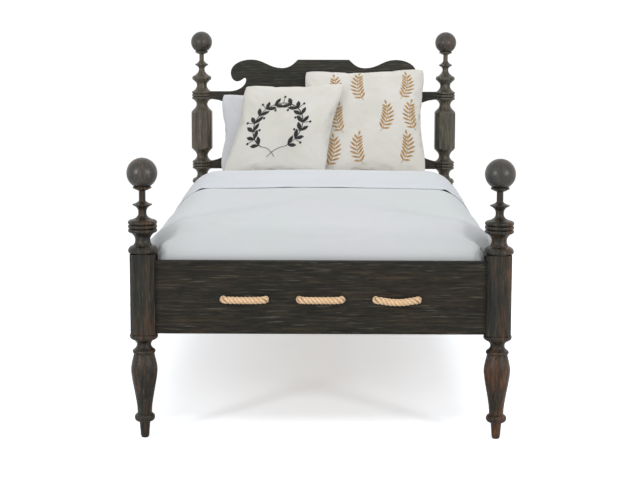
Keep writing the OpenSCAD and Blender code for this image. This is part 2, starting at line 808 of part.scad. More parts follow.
function sheet_ring(d, outer, under) =
    let (
        over_the_top = concat(left_of(outer), outer),
        back = concat(left_of(under), under),
        y = mattress_foot + d
    )
    concat(
        [for (p = over_the_top) [p.x, y, p.y]],
        [for (i = [len(back) - 1 : -1 : 0]) [back[i].x, y, back[i].y]]
    );

module duvet() {
    color(linen) skin([for (d = stations) sheet_ring(d, outer_half(d), under_half(d))]);
}

// The band is the top sheet, turned down over the head end of the duvet
band_gap = 0.8;

function band_half(d, g) = let (p = outer_half(d, g)) [for (i = [0 : len(p) - 2]) p[i]];

module top_sheet() {
    start = duvet_l - band_l;
    color(sheet_white) skin([
        for (d = concat([start], [for (d = flap_stations) if (d > start + 10) d]))
            sheet_ring(d, band_half(d, band_gap + band_t), band_half(d, band_gap))
    ]);
}

// ---- Pillow and cushions ----
PILLOW_CUTS = 10;
seam_t = 5;      // thickness at the sewn edge
fill = 0.55;     // how far the stuffing reaches toward the edges: lower is fuller
draw_in = 0.05;  // how far the sides pull in between the corners, as a share of the half width

// Rings of a pillow that stands on y = 0, its front face toward +z
function pillow_rings(w, h, t) = [
    for (j = [0 : PILLOW_CUTS])
        let (v = sin(180 * j / PILLOW_CUTS - 90))
        [
            for (face = [1, -1], i = [0 : PILLOW_CUTS])
                let (
                    u = face * sin(180 * i / PILLOW_CUTS - 90),
                    crown = ((1 - u ^ 2) * (1 - v ^ 2)) ^ fill
                )
                [
                    w / 2 * u * (1 - draw_in * (1 - v ^ 2)),
                    h / 2 * (1 + v * (1 - draw_in * (1 - u ^ 2))),
                    face * (seam_t + (t - seam_t) * crown) / 2
                ]
        ]
];

// A point of a pillow that slumps sideways toward its top, is rolled in its own plane,
// leaned back and turned about the upright
function leaned(p, h, lean, slump, roll, yaw) =
    let (
        across = p.x + slump * (p.y - h / 2),
        x = across * cos(roll) - (p.y - h / 2) * sin(roll),
        y = h / 2 + across * sin(roll) + (p.y - h / 2) * cos(roll),
        back = y * sin(lean) - p.z * cos(lean)
    )
    [x * cos(yaw) - back * sin(yaw), x * sin(yaw) + back * cos(yaw), y * cos(lean) + p.z * sin(lean)];

// A pillow at x that stands on the mattress and has its rearmost point at back_y
module standing_pillow(w, h, t, x, back_y, lean, slump = 0, roll = 0, yaw = 0) {
    rings = [for (ring = pillow_rings(w, h, t)) [for (p = ring) leaned(p, h, lean, slump, roll, yaw)]];
    low = min([for (ring = rings) each [for (p = ring) p.z]]);
    back = max([for (ring = rings) each [for (p = ring) p.y]]);
    translate([x, back_y - back, bed_top + SEAT - low]) skin(rings);
}

// The left cushion stands in front of the right one, slumped toward it
left_forward = cushion_t + 16;
left_x = -172;
left_lean = 31;
left_slump = 0.19;
left_roll = 2;
left_yaw = -6;

module sleeping_pillow() {
    color(pillow_white)
        standing_pillow(pillow_w, pillow_h, pillow_t, -103, headboard_front - SEAT, 16);
}

module right_cushion() {
    color(cushion_cream)
        standing_pillow(right_cushion_w, right_cushion_w, cushion_t, 172, headboard_front - SEAT, 34, 0.04, 1.5);
}

module left_cushion() {
    color(cushion_cream)
        standing_pillow(left_cushion_w, left_cushion_w, cushion_t, left_x, headboard_front - left_forward,
            left_lean, left_slump, left_roll, left_yaw);
}

module foot_rail() { end_rail(-post_y); }
module head_rail() { end_rail(head_rail_y); }

foot_post(LEFT);  // foot_post_left
foot_post(RIGHT);  // foot_post_right
head_post(LEFT);  // head_post_left
head_post(RIGHT);  // head_post_right
finial(LEFT, FOOT, foot_seat_z);  // foot_finial_left
finial(RIGHT, FOOT, foot_seat_z);  // foot_finial_right
finial(LEFT, HEAD, head_seat_z);  // head_finial_left
finial(RIGHT, HEAD, head_seat_z);  // head_finial_right
finial_dowels();
foot_rail();
head_rail();
side_rail(LEFT);  // left_side_rail
side_rail(RIGHT);  // right_side_rail
headboard_panel();
headboard_crossbar();
rail_hook_plates();
post_socket_plates();
hook_plate_screws();
socket_plate_screws();
rope(long_path);  // lengthwise_rope
rope(cross_path);  // crosswise_rope
rope_stopper_knots();
mattress();
duvet();
top_sheet();
sleeping_pillow();
right_cushion();
left_cushion();
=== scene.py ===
import math

import bmesh
import bpy
import numpy as np
from mathutils import Matrix, Vector, noise


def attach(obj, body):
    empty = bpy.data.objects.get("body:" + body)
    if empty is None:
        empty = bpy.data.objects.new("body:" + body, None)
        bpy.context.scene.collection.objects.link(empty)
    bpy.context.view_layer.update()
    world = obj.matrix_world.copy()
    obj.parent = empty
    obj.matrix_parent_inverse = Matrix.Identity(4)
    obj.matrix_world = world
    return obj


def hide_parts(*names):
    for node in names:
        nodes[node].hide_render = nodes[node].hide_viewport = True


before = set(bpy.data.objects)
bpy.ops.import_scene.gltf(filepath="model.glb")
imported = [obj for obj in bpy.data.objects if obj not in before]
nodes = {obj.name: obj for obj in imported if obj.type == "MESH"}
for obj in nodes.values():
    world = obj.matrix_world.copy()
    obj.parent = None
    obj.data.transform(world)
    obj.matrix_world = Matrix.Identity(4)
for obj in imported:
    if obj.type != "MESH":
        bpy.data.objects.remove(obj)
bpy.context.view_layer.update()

# Metres, in the bed's own frame: X across, +Y toward the headboard, Z up from the floor.


def linked(name, data):
    """An object that holds data, in the scene's collection."""
    thing = bpy.data.objects.new(name, data)
    bpy.context.collection.objects.link(thing)
    return thing


# ---- Camera, fitted to the photograph ----
SENSOR_MM, PHOTO_WIDTH_PX, FOCAL_PX = 36.0, 640, 1392.8
CAMERA_AT, CAMERA_SHIFT_Y = (0.0192, -5.0197, 1.1924), -0.06
CAMERA_YAW, CAMERA_DOWN, CAMERA_ROLL = 0.312, 6.837, 0.151  # degrees


def place_camera():
    data = bpy.data.cameras.new("camera_at_the_foot")
    data.sensor_width = SENSOR_MM
    data.lens = FOCAL_PX / PHOTO_WIDTH_PX * SENSOR_MM
    data.shift_y = CAMERA_SHIFT_Y
    camera = linked("camera_at_the_foot", data)
    camera.matrix_world = (
        Matrix.Translation(CAMERA_AT)
        @ Matrix.Rotation(math.radians(CAMERA_YAW), 4, "Z")
        @ Matrix.Rotation(math.radians(90 - CAMERA_DOWN), 4, "X")
        @ Matrix.Rotation(math.radians(CAMERA_ROLL), 4, "Z")
    )
    bpy.context.scene.camera = camera


place_camera()


# ---- Helpers for meshes ----
def add_mesh(name, points, faces, material=None):
    mesh = bpy.data.meshes.new(name)
    mesh.from_pydata([tuple(p) for p in points], [], [tuple(f) for f in faces])
    mesh.validate()
    mesh.update()
    if material:
        mesh.materials.append(material)
    mesh.polygons.foreach_set("use_smooth", [True] * len(mesh.polygons))
    return linked(name, mesh)


def add_lines(name, lines):
    """A mesh of edges only. Each line is a run of points."""
    points, edges = [], []
    for line in lines:
        first = len(points)
        points += [tuple(p) for p in line]
        edges += [(k, k + 1) for k in range(first, len(points) - 1)]
    mesh = bpy.data.meshes.new(name)
    mesh.from_pydata(points, edges, [])
    return linked(name, mesh)


def put_uv(thing, name, coords):
    """A UV map from one pair of coordinates for each vertex."""
    layer = thing.data.uv_layers.new(name=name)
    corners = np.empty(len(thing.data.loops), dtype=np.int32)
    thing.data.loops.foreach_get("vertex_index", corners)
    layer.data.foreach_set("uv", np.asarray(coords, dtype=np.float32)[corners].ravel())


def vertex_rows(mesh, key="co"):
    """The places or the normals of a mesh's vertices, three numbers a row."""
    flat = np.empty(len(mesh.vertices) * 3)
    mesh.vertices.foreach_get(key, flat)
    return flat.reshape(-1, 3)


def set_coords(thing, points):
    thing.data.vertices.foreach_set("co", np.asarray(points, dtype=np.float64).ravel())
    thing.data.update()


def evaluated_mesh(thing):
    deps = bpy.context.evaluated_depsgraph_get()
    return bpy.data.meshes.new_from_object(thing.evaluated_get(deps), depsgraph=deps)


def plain_mesh(thing, keep_name):
    """The evaluated shape of thing as a mesh object with no modifiers. thing is removed."""
    bpy.context.view_layer.update()
    mesh = evaluated_mesh(thing)
    bpy.data.objects.remove(thing)
    mesh.name = keep_name
    return linked(keep_name, mesh)


# ---- Helpers for node trees ----
MIX_FACTOR, MIX_A, MIX_B, MIX_RESULT = 0, 6, 7, 2  # the colour sockets of a Mix node


def rgba(colour):
    return (*colour, 1) if isinstance(colour, tuple) and len(colour) == 3 else colour


class Tree:
    """A node tree, with short calls for its nodes."""

    def __init__(self, tree):
        self.tree = tree

    def join(self, a, b):
        self.tree.links.new(a, b)

    def node(self, kind, inputs=None, **settings):
        """A new node. Each of its inputs takes a value, or the output of another node."""
        made = self.tree.nodes.new(kind)
        for key, value in settings.items():
            setattr(made, key, value)
        for key, value in (inputs or {}).items():
            if isinstance(value, bpy.types.NodeSocket):
                self.join(value, made.inputs[key])
            else:
                made.inputs[key].default_value = value
        return made

    def math(self, kind, a, b=None):
        inputs = {0: a} if b is None else {0: a, 1: b}
        return self.node("ShaderNodeMath", inputs, operation=kind).outputs["Value"]


class Paint(Tree):
    """A material that ends in one principled shader. sheen is its weight and roughness."""

    def __init__(self, name, roughness=0.6, specular=0.5, sheen=(0.0, 0.5), metallic=0.0):
        self.material = bpy.data.materials.new(name)
        self.material.use_nodes = True
        super().__init__(self.material.node_tree)
        self.tree.nodes.clear()
        self.shader = self.node("ShaderNodeBsdfPrincipled", {
            "Roughness": roughness, "Specular IOR Level": specular, "Metallic": metallic,
            "Sheen Weight": sheen[0], "Sheen Roughness": sheen[1]})
        self.node("ShaderNodeOutputMaterial", {"Surface": self.shader.outputs["BSDF"]})

    def place(self, turn=(0, 0, 0), scale=(1, 1, 1), shift=(0, 0, 0), uv=None):
        """The object's own coordinates, or those of a UV map, turned, scaled and shifted."""
        if uv:
            start = self.node("ShaderNodeUVMap", uv_map=uv).outputs["UV"]
        else:
            start = self.node("ShaderNodeTexCoord").outputs["Object"]
        inputs = {"Vector": start, "Rotation": turn, "Scale": scale, "Location": shift}
        return self.node("ShaderNodeMapping", inputs).outputs["Vector"]

    def stretch(self, vector, scale):
        return self.node("ShaderNodeMapping", {"Vector": vector, "Scale": scale}).outputs["Vector"]

    def noise(self, vector, scale, detail=3.0, rough=0.55, distortion=0.0):
        return self.node("ShaderNodeTexNoise", {
            "Vector": vector, "Scale": scale, "Detail": detail, "Roughness": rough,
            "Distortion": distortion}).outputs["Fac"]

    def wave(self, vector, scale, distortion=0.0, detail=1.0, axis="X", detail_scale=1.0):
        return self.node("ShaderNodeTexWave", {
            "Vector": vector, "Scale": scale, "Distortion": distortion, "Detail": detail,
            "Detail Scale": detail_scale}, bands_direction=axis).outputs["Fac"]

    def weave(self, warp_spot, weft_spot, axes, *settings):
        """The higher of two waves, one along each of two axes."""
        warp = self.wave(warp_spot, *settings, axis=axes[0])
        return self.math("MAXIMUM", warp, self.wave(weft_spot, *settings, axis=axes[1]))

    def ramp(self, value, *stops):
        """Colours at their places between 0 and 1."""
        made = self.node("ShaderNodeValToRGB", {"Fac": value})
        there = made.color_ramp.elements
        while len(there) < len(stops):
            there.new(0.5)
        for stop, (at, colour) in zip(there, stops):
            stop.position = at
            stop.color = rgba(colour)
        return made.outputs["Color"]

    def grey(self, value, low, high, a=0.0, b=1.0):
        """value from low to high, put on a to b."""
        inputs = {"Value": value, "From Min": low, "From Max": high, "To Min": a, "To Max": b}
        return self.node("ShaderNodeMapRange", inputs).outputs["Result"]

    def mix(self, factor, a, b, kind="MIX"):
        inputs = {MIX_FACTOR: factor, MIX_A: rgba(a), MIX_B: rgba(b)}
        made = self.node("ShaderNodeMix", inputs, data_type="RGBA", blend_type=kind)
        return made.outputs[MIX_RESULT]

    def tint(self, colour, *tints):
        """Each tint mixed in, from none where its value is low up to most where it is high."""
        for value, low, high, most, tint in tints:
            colour = self.mix(self.grey(value, low, high, 0.0, most), colour, tint)
        return colour

    def bump(self, height, strength, distance):
        inputs = {"Height": height, "Strength": strength, "Distance": distance}
        return self.node("ShaderNodeBump", inputs).outputs["Normal"]

    def finish(self, colour=None, roughness=None, normal=None):
        for value, socket in ((colour, "Base Color"), (roughness, "Roughness"), (normal, "Normal")):
            if value is not None:
                self.join(value, self.shader.inputs[socket])
        return self.material


# ---- Wood ----
GRAIN_UP = (0, 0, 0)
GRAIN_ACROSS = (0, math.radians(90), 0)
GRAIN_ALONG = (math.radians(90), 0, 0)


def dark_oak(name, grain, shift, gloss, dull, depth, warmth, relief_depth=0.5):
    """Wire-brushed oak. grain turns its length onto Z. depth deepens the stain, and warmth reddens it. The
    head posts' low depth paints them lighter, as painted light.
    """
    p = Paint(name, specular=gloss)
    board = p.place(turn=grain, shift=shift)

    def fibres(across, along, *settings):
        return p.noise(p.stretch(board, (across, across, along)), 1.0, *settings)

    tone = fibres(7, 1.6, 4, 0.6, 0.6)
    streak = fibres(62, 6.5, 5, 0.7, 0.6)
    lines = fibres(180, 17, 4, 0.66, 0.5)
    rings = p.wave(p.stretch(board, (26, 26, 1.6)), 1.0, 5.5, 3, detail_scale=1.4)
    grain_lines = fibres(330, 9, 3, 0.6)
    pores = fibres(620, 26, 2, 0.5)
    scratches = fibres(250, 13, 2, 0.45, 0.3)
    cold, mid, warm = (tuple(v / depth for v in c) for c in (
        (0.015, 0.0165, 0.0135), (0.024, 0.0222, 0.0162),
        (0.024 + 0.019 * warmth, 0.0218 + 0.0065 * warmth, 0.0175)))
    stain = p.ramp(tone, (0.34, cold), (0.5, mid), (0.66, warm))
    streaks = p.ramp(
        streak, (0.34, (0.5, 0.52, 0.52)), (0.5, (1, 1, 1)),
        (0.64, (1.3 + 0.5 * warmth, 1.22 + 0.18 * warmth, 1.12)))
    colour = p.mix(1.0, stain, streaks, "MULTIPLY")
    fine = p.ramp(lines, (0.36, (0.55, 0.55, 0.56)), (0.5, (1, 1, 1)), (0.66, (1.75, 1.62, 1.45)))
    colour = p.mix(1.0, colour, fine, "MULTIPLY")
    colour = p.tint(
        colour, (rings, 0.25, 0.9, 0.34, (0.01, 0.01, 0.009)),
        (grain_lines, 0.56, 0.72, 0.62, (0.008, 0.008, 0.007)),
        (scratches, 0.62, 0.71, 0.4, (0.15, 0.135, 0.11)))
    relief = p.grey(grain_lines, 0.3, 0.75, 1.0, 0.0)
    for part, amount in ((pores, 0.4), (rings, 0.35), (lines, 0.8)):
        relief = p.math("ADD", relief, p.math("MULTIPLY", part, amount))
    shine = p.grey(streak, 0.3, 0.7, *dull)
    return p.finish(colour, shine, p.bump(relief, relief_depth, 0.0008))


def beech():
    p = Paint("plain_beech", 0.6)
    along = p.stretch(p.place(), (160, 160, 8))
    colour = p.ramp(p.noise(along, 1.0, 3), (0.3, (0.4, 0.25, 0.13)), (0.7, (0.58, 0.41, 0.25)))
    return p.finish(colour, normal=p.bump(p.noise(along, 3.0, 2), 0.3, 0.0003))


def zinc_plate():
    p = Paint("zinc_plated_steel", 0.38, metallic=1.0)
    spangle = p.noise(p.place(), 90, 3)
    colour = p.ramp(spangle, (0.3, (0.42, 0.43, 0.45)), (0.7, (0.62, 0.63, 0.64)))
    return p.finish(colour, p.grey(spangle, 0.3, 0.7, 0.3, 0.46))


for finish, names in (
    (dark_oak("dark_oak_posts", GRAIN_UP, (0, 0, 0), 0.3, (0.22, 0.38), 0.98, 2.3),
     ("foot_post_left", "foot_post_right")),
    # Painted light: the head posts get a far lighter copy of the posts' oak, standing in for the stronger
    # light that falls on them.
    (dark_oak("dark_oak_head_posts", GRAIN_UP, (3.1, 1.7, 0.6), 0.42, (0.24, 0.38), 0.26, 0.25),
     ("head_post_left", "head_post_right")),
    (dark_oak("dark_oak_end_rails", GRAIN_ACROSS, (1.3, 0.4, 2.2), 0.18, (0.52, 0.68), 0.94, 0.25),
     ("foot_rail", "head_rail")),
    (dark_oak("dark_oak_headboard", GRAIN_ACROSS, (2.3, 1.1, 0.2), 0.3, (0.44, 0.6), 0.68, 0.2),
     ("headboard_panel", "headboard_crossbar")),
    (dark_oak("dark_oak_side_rails", GRAIN_ALONG, (0.7, 2.9, 1.4), 0.18, (0.52, 0.68), 0.86, 0.25),
     ("left_side_rail", "right_side_rail")),
    (dark_oak("dark_oak_balls", GRAIN_UP, (5.2, 0.3, 1.1), 0.72, (0.33, 0.39), 1.2, 2.4, 0.12),
     ("foot_finial_left", "foot_finial_right", "head_finial_left", "head_finial_right")),
    (beech(), ("finial_dowels",)),
    (zinc_plate(), ("rail_hook_plates", "post_socket_plates", "hook_plate_screws", "socket_plate_screws")),
):
    for name in names:
        for place in nodes[name].material_slots:
            place.material = finish


# ---- Rope ----
ROPE_Z = 0.42
BEND_R = 0.0112
WEAVE = 0.01045  # how far a strand rises over what it crosses, and dips under it
LAY = 0.0375  # length of one turn of the rope's strands
LONG_X = [side * 0.224 + edge * 0.062 for side in (-1, 0, 1) for edge in (-1, 1)]
CROSS_Y = [(j - 5.5) * 0.15 for j in range(12)]
FOOT_FACE, HEAD_FACE, SIDE_FACE = -0.993, 0.985, 0.525
FOOT_SAG, HIDDEN_SAG = (0.0015, 0.0012, 0.0062), 0.002  # a loop's sag at the middle of its run
STAND_OFF = 0.0028  # a loop comes this far straight out of its hole before it bends
RAIL_T = 0.026
END_PROUD = 0.004  # a rope's end comes out this far before its knot


def quarter_bend(hole, along, out):
    cuts = 6
    return [hole] + [
        hole + STAND_OFF * out + BEND_R * (1 - math.cos(t)) * along + BEND_R * math.sin(t) * out
        for t in (math.pi / 2 * k / cuts for k in range(cuts + 1))
    ]


def loop_over_face(a, b, out, sag):
    """From hole a round to hole b on the face of a rail."""
    along = (b - a).normalized()
    first, last = quarter_bend(a, along, out), quarter_bend(b, -along, out)
    run, cuts = [], 18
    for k in range(1, cuts):
        t = k / cuts
        point = first[-1].lerp(last[-1], t)
        in_to_face = STAND_OFF * math.sin(math.pi * t) ** 2
        run.append(point - in_to_face * out + Vector((0, 0, -sag * math.sin(math.pi * t))))
    return first + run + last[::-1]


def woven_run(crossings, rises, ends):
    """Over and under what it crosses, from rail to rail: how far along, and how high."""
    points = []
    spots = [(ends[0], 0.0)] + list(zip(crossings, rises)) + [(ends[1], 0.0)]
    for (a, za), (b, zb) in zip(spots, spots[1:]):
        cuts = max(3, int(abs(b - a) / 0.012))
        for k in range(cuts):
            t = k / cuts
            ease = (1 - math.cos(math.pi * t)) / 2
            points.append((a + (b - a) * t, ROPE_Z + za + (zb - za) * ease))
    return points + [(ends[1], ROPE_Z)]


def rope_route(lengthwise):
    """One rope from its first knot to its last. Between two runs it loops over the face of a rail."""
    if lengthwise:
        lines, crossings, faces, first_side = LONG_X, CROSS_Y, (FOOT_FACE, HEAD_FACE), 1
    else:
        lines, crossings, faces, first_side = CROSS_Y, LONG_X, (-SIDE_FACE, SIDE_FACE), 0
    outs = (-1, 1)

    def spot(line, at, z=ROPE_Z):
        return Vector((line, at, z) if lengthwise else (at, line, z))

    knot = faces[first_side] + outs[first_side] * END_PROUD
    inner = faces[0] + RAIL_T, faces[1] - RAIL_T
    route = [spot(lines[0], knot)]
    for n, line in enumerate(lines):
        rises = [WEAVE if (n + k + first_side) % 2 else -WEAVE for k in range(len(crossings))]
        run = [spot(line, at, z) for at, z in woven_run(crossings, rises, inner)]
        side = (first_side + n + 1) % 2
        route += run if side else run[::-1]
        if n + 1 < len(lines):
            holes = [spot(at, faces[side]) for at in lines[n:n + 2]]
            sag = FOOT_SAG[n // 2] if lengthwise and side == 0 else HIDDEN_SAG
            route += loop_over_face(*holes, spot(0, outs[side], 0), sag)
    return route + [spot(lines[-1], knot)]


def rope_fibre():
    """Tan fibre, with painted shade where it lies deep between the strands. The strand's own UV runs along it
    and round it.
    """
    p = Paint("twisted_rope_fibre", 0.82, 0.25, sheen=(0.25, 0.5))
    fine = p.noise(p.place(uv="strand", scale=(420, 9, 1)), 1.0, 3, 0.65)
    patch = p.noise(p.place(), 38, 3)
    wound = p.noise(p.place(uv="strand", scale=(90, 3, 1), shift=(3, 1, 0)), 1.0, 2)
    reach = p.node("ShaderNodeAttribute", attribute_name="reach").outputs["Fac"]
    colour = p.ramp(fine, (0.28, (0.58, 0.35, 0.17)), (0.47, (0.93, 0.62, 0.36)), (0.66, (1.0, 0.8, 0.55)))
    colour = p.tint(
        colour, (patch, 0.35, 0.75, 0.22, (0.6, 0.38, 0.2)), (wound, 0.6, 0.75, 0.35, (0.93, 0.78, 0.58)))
    # Painted shade: the fibre turns dark brown where it lies near the rope's middle, in the grooves between
    # the strands.
    colour = p.mix(p.grey(reach, 0.0076, 0.0102, 0.92, 0.0), colour, (0.3, 0.15, 0.062))
    return p.finish(colour, normal=p.bump(fine, 0.65, 0.0006))


class Grower(Tree):
    """A Geometry Nodes tree that turns lines into tubes. given holds what comes in."""

    def __init__(self, name, **kinds):
        super().__init__(bpy.data.node_groups.new(name, "GeometryNodeTree"))
        sockets = self.tree.interface
        for way in ("INPUT", "OUTPUT"):
            sockets.new_socket(name="Geometry", in_out=way, socket_type="NodeSocketGeometry")
        for socket, kind in kinds.items():
            sockets.new_socket(name=socket, in_out="INPUT", socket_type="NodeSocket" + kind)
        self.given = self.node("NodeGroupInput").outputs

    def field(self, kind, output):
        return self.node("GeometryNode" + kind).outputs[output]

    def curve(self):
            return self.node("GeometryNodeMeshToCurve", {"Mesh": self.given["Geometry"]}).outputs["Curve"]

    def ring(self, radius):
        inputs = {"Resolution": self.given["sides"], "Radius": self.given[radius]}
        return self.node("GeometryNodeCurvePrimitiveCircle", inputs).outputs["Curve"]

    def tube(self, curve, ring, **inputs):
        inputs.update({"Curve": curve, "Profile Curve": ring, "Fill Caps": True})
        return self.node("GeometryNodeCurveToMesh", inputs).outputs["Mesh"]

    def store(self, geometry, name, value, kind="FLOAT"):
        inputs = {"Geometry": geometry, "Name": name, "Value": value}
        made = self.node("GeometryNodeStoreNamedAttribute", inputs, data_type=kind, domain="POINT")
        return made.outputs["Geometry"]

    def smooth(self, geometry):
        for kind in ("GeometryNodeSetShadeSmooth", "GeometryNodeRealizeInstances"):
            geometry = self.node(kind, {"Geometry": geometry}).outputs["Geometry"]
        return geometry

    def give(self, geometry):
        """geometry in the material that was given, as what comes out."""
        inputs = {"Geometry": geometry, "Material": self.given["material"]}
        painted = self.node("GeometryNodeSetMaterial", inputs).outputs["Geometry"]
        self.node("NodeGroupOutput", {"Geometry": painted})
        return self.tree


def laid_rope_tree():
    """Three strands laid round the centre line that comes in. reach is the distance from that line, which the
    fibre's material uses to paint shade between the strands.
    """
    g = Grower("laid_rope", strand_radius="Float", strand_offset="Float", lay_length="Float",
               step="Float", sides="Int", material="Material")

    def vector(kind, inputs, output="Vector"):
        return g.node("ShaderNodeVectorMath", inputs, operation=kind).outputs[output]

    position, along = g.field("InputPosition", "Position"), g.field("SplineParameter", "Length")
    even = g.node("GeometryNodeResampleCurve", {"Curve": g.curve(), "Length": g.given["step"]}, mode="LENGTH")
    middle = g.store(even.outputs["Curve"], "middle", position, "FLOAT_VECTOR")
    middle = g.store(middle, "along", along)
    normal = g.field("InputNormal", "Normal")
    side = vector("CROSS_PRODUCT", {0: g.field("InputTangent", "Tangent"), 1: normal})
    turn = g.math("MULTIPLY", g.math("DIVIDE", along, g.given["lay_length"]), 2 * math.pi)
    ring = g.store(g.ring("strand_radius"), "around", g.field("SplineParameter", "Factor"))
    strands = g.node("GeometryNodeJoinGeometry")
    for k in range(3):
        angle = g.math("ADD", turn, 2 * math.pi * k / 3)
        offset = {}
        for n, way, kind in ((0, normal, "COSINE"), (1, side, "SINE")):
            amount = g.math("MULTIPLY", g.math(kind, angle), g.given["strand_offset"])
            offset[n] = vector("SCALE", {0: way, "Scale": amount})
        inputs = {"Geometry": middle, "Offset": vector("ADD", offset)}
        moved = g.node("GeometryNodeSetPosition", inputs).outputs["Geometry"]
        g.join(g.tube(moved, ring), strands.inputs["Geometry"])
    was = g.node("GeometryNodeInputNamedAttribute", {"Name": "middle"}, data_type="FLOAT_VECTOR")
    reach = vector("DISTANCE", {0: position, 1: was.outputs["Attribute"]}, "Value")
    return g.give(g.store(g.smooth(strands.outputs["Geometry"]), "reach", reach))


def grown(thing, tree, keep_name, **inputs):
    """thing after the Geometry Nodes tree, as a plain mesh."""
    modifier = thing.modifiers.new("grow", "NODES")
    modifier.node_group = tree
    for socket in tree.interface.items_tree:
        if socket.in_out == "INPUT" and socket.name in inputs:
            modifier[socket.identifier] = inputs[socket.name]
    return plain_mesh(thing, keep_name)


def strand_uv(thing):
    """The UV map that the fibre follows, from the lengths and angles kept on the strands."""
    mesh = thing.data
    values = np.zeros((2, len(mesh.vertices)))
    for row, name in zip(values, ("along", "around")):
        mesh.attributes[name].data.foreach_get("value", row)
    put_uv(thing, "strand", values.T)
    for name in ("along", "around", "middle"):
        mesh.attributes.remove(mesh.attributes[name])


fibre = rope_fibre()
rope_tree = laid_rope_tree()


def laid_rope(name, points, step, sides, lay, radius, offset):
    rope = grown(
        add_lines(name, [points]), rope_tree, name, step=step, sides=sides, material=fibre,
        lay_length=lay, strand_radius=radius, strand_offset=offset)
    strand_uv(rope)
    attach(rope, "bed_frame")
    return rope


def turks_head(centre, axis, across, up):
    """A knob of three leads and four bights round the rope's end."""
    points, cuts = [], 216
    for k in range(cuts + 1):
        t = 2 * math.pi * k / cuts
        ring, reach = 3 * t, 0.0143 + 0.0016 * math.sin(8 * t)
        points.append(
            centre + axis * 0.0112 * math.cos(4 * t) + (across * math.cos(ring) + up * math.sin(ring)) * reach
        )
    return points


def stopper_knots():
    """Knobs on the four rope ends, with whipped ends that stand a little proud."""
    knobs = []
    up = Vector((0, 0, 1))
    ends = [(Vector((x, HEAD_FACE, ROPE_Z)), Vector((0, 1, 0))) for x in (LONG_X[0], LONG_X[-1])]
    ends += [(Vector((-SIDE_FACE, y, ROPE_Z)), Vector((-1, 0, 0))) for y in (CROSS_Y[0], CROSS_Y[-1])]
    for foot, axis in ends:
        across = axis.cross(up)
        knobs.append((turks_head(foot + axis * 0.0172, axis, across, up), 0.0022, 0.0025, 0.017))
        knobs.append(([foot + axis * (0.0045 + 0.036 * k / 8) for k in range(9)], 0.0044, 0.005, LAY))
        whip = []
        for k in range(81):
            t = 2 * math.pi * 5 * k / 80
            reach = (across * math.cos(t) + up * math.sin(t)) * 0.0096
            whip.append(foot + axis * (0.035 + 0.0048 * k / 80) + reach)
        knobs.append((whip, 0.00034, 0.00036, 0.004))
    for count, (points, radius, offset, lay) in enumerate(knobs):
        bit = laid_rope(f"rope_end_{count + 1}", points, min(0.0036, lay / 6), 6, lay, radius, offset)
        if count == 0:
            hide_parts("rope_stopper_knots")


stopper_knots()
for name, lengthwise, node in (
    ("lengthwise_laid_rope", True, "lengthwise_rope"), ("crosswise_laid_rope", False, "crosswise_rope"),
):
    rope = laid_rope(name, rope_route(lengthwise), 0.0042, 8, LAY, 0.0052, 0.006)
    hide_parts(node)


# ---- Bedding ----
TOUCH = 0.0003  # the gap left under a piece that lies on another
MATTRESS_Z, MATTRESS_H = 0.44075, 0.1745
MATTRESS_HALF, MATTRESS_LENGTH = 0.4825, 1.905
BED_TOP = MATTRESS_Z + MATTRESS_H
RAIL_TOP = 0.533
DUVET_L, BAND_L = 1.55, 0.63
DUVET_T = 0.025
DUVET_TOP = BED_TOP + TOUCH + DUVET_T
CORNER_END = 0.114  # the foot corners' own shape ends here
BAND_START = DUVET_L - BAND_L
TUCK_END = -0.0008  # what lies nearer the foot is tucked in behind the foot rail
TUCK_TAPER = 0.003  # the tuck is this much narrower at its lower edge
TUCK_DROP, FLAP_DROP = 0.034, 0.078
FOLD_DEEP, FOLD_PITCH = 0.003, 0.33
FLAT_CUTS, SIDE_CUTS = 30, 26


def share(d, table):
    """The value at distance d, in metres, in a table of millimetres and values."""
    return float(np.interp(d * 1000, *zip(*table)))


def lookup(d, table):
    """As share, but the values are millimetres too, and the result is in metres."""
    return share(d, table) / 1000


def blend_of(a, b, t):
    return a + (b - a) * t


def fullness(d):
    return share(d, [(850, 0), (1350, 1)])


def softness(d):
    return share(d, [(-0.8, 0.1), (4.5, 0.45), (12.5, 0.8), (30, 1)])


def tucked(d):
    return d <= TUCK_END


def fold_wave(d):
    if d <= CORNER_END:
        return 0.0
    return FOLD_DEEP * math.sin(2 * math.pi * (d - CORNER_END) / FOLD_PITCH) * (1 - fullness(d))


def outer_reach(d):
    return SIDE_FACE + fold_wave(d) + lookup(d, [
        (-12.5, -44), (-0.5, -41.5), (4.5, -40.5), (12.5, -23), (22.5, -4), (37.5, 14), (52.5, 24),
        (66, 28.5), (86, 31)])


def inner_reach(d):
    return SIDE_FACE + lookup(d, [
        (-12.5, -60), (-0.5, -56), (4.5, -53), (12.5, -38), (22.5, -22), (37.5, -6), (52.5, 4),
        (80, 6)])


def hem_z(d):
    if tucked(d):
        return RAIL_TOP - TUCK_DROP
    return RAIL_TOP + lookup(d, [(-0.5, 12), (37.5, 9), (80, 7), (86, -73), (114, -78)])


def top_z(d):
    return DUVET_TOP + lookup(d, [
        (-12.5, -93), (-0.8, -53), (4.5, -37), (12.5, -25.5), (22.5, -16), (37.5, -7.5),
        (52.5, -2.5), (67.5, -0.5), (114, 0)])


def under_z(d):
    if tucked(d):
        return hem_z(d)
    return BED_TOP + lookup(d, [
        (-0.5, -40), (4.5, -26), (12.5, -14), (22.5, -5.5), (37.5, 0.2), (52.5, 0.3)])


def bezier(curve, t):
    """The point at t, from 0 to 1, on a Bezier curve of four points."""
    a, b, c, d = (np.array(point) for point in curve)
    return tuple(a * (1 - t) ** 3 + 3 * b * t * (1 - t) ** 2 + 3 * c * t * t * (1 - t) + d * t ** 3)


def shoulder_z(hem, top, soft):
    """Height of the roll where the top turns down into the side."""
    low, up = RAIL_TOP - FLAP_DROP, 0.62
    return blend_of(hem + (top - hem) * up, max(low + (top - low) * up, hem + (top - hem) * 0.2), soft)


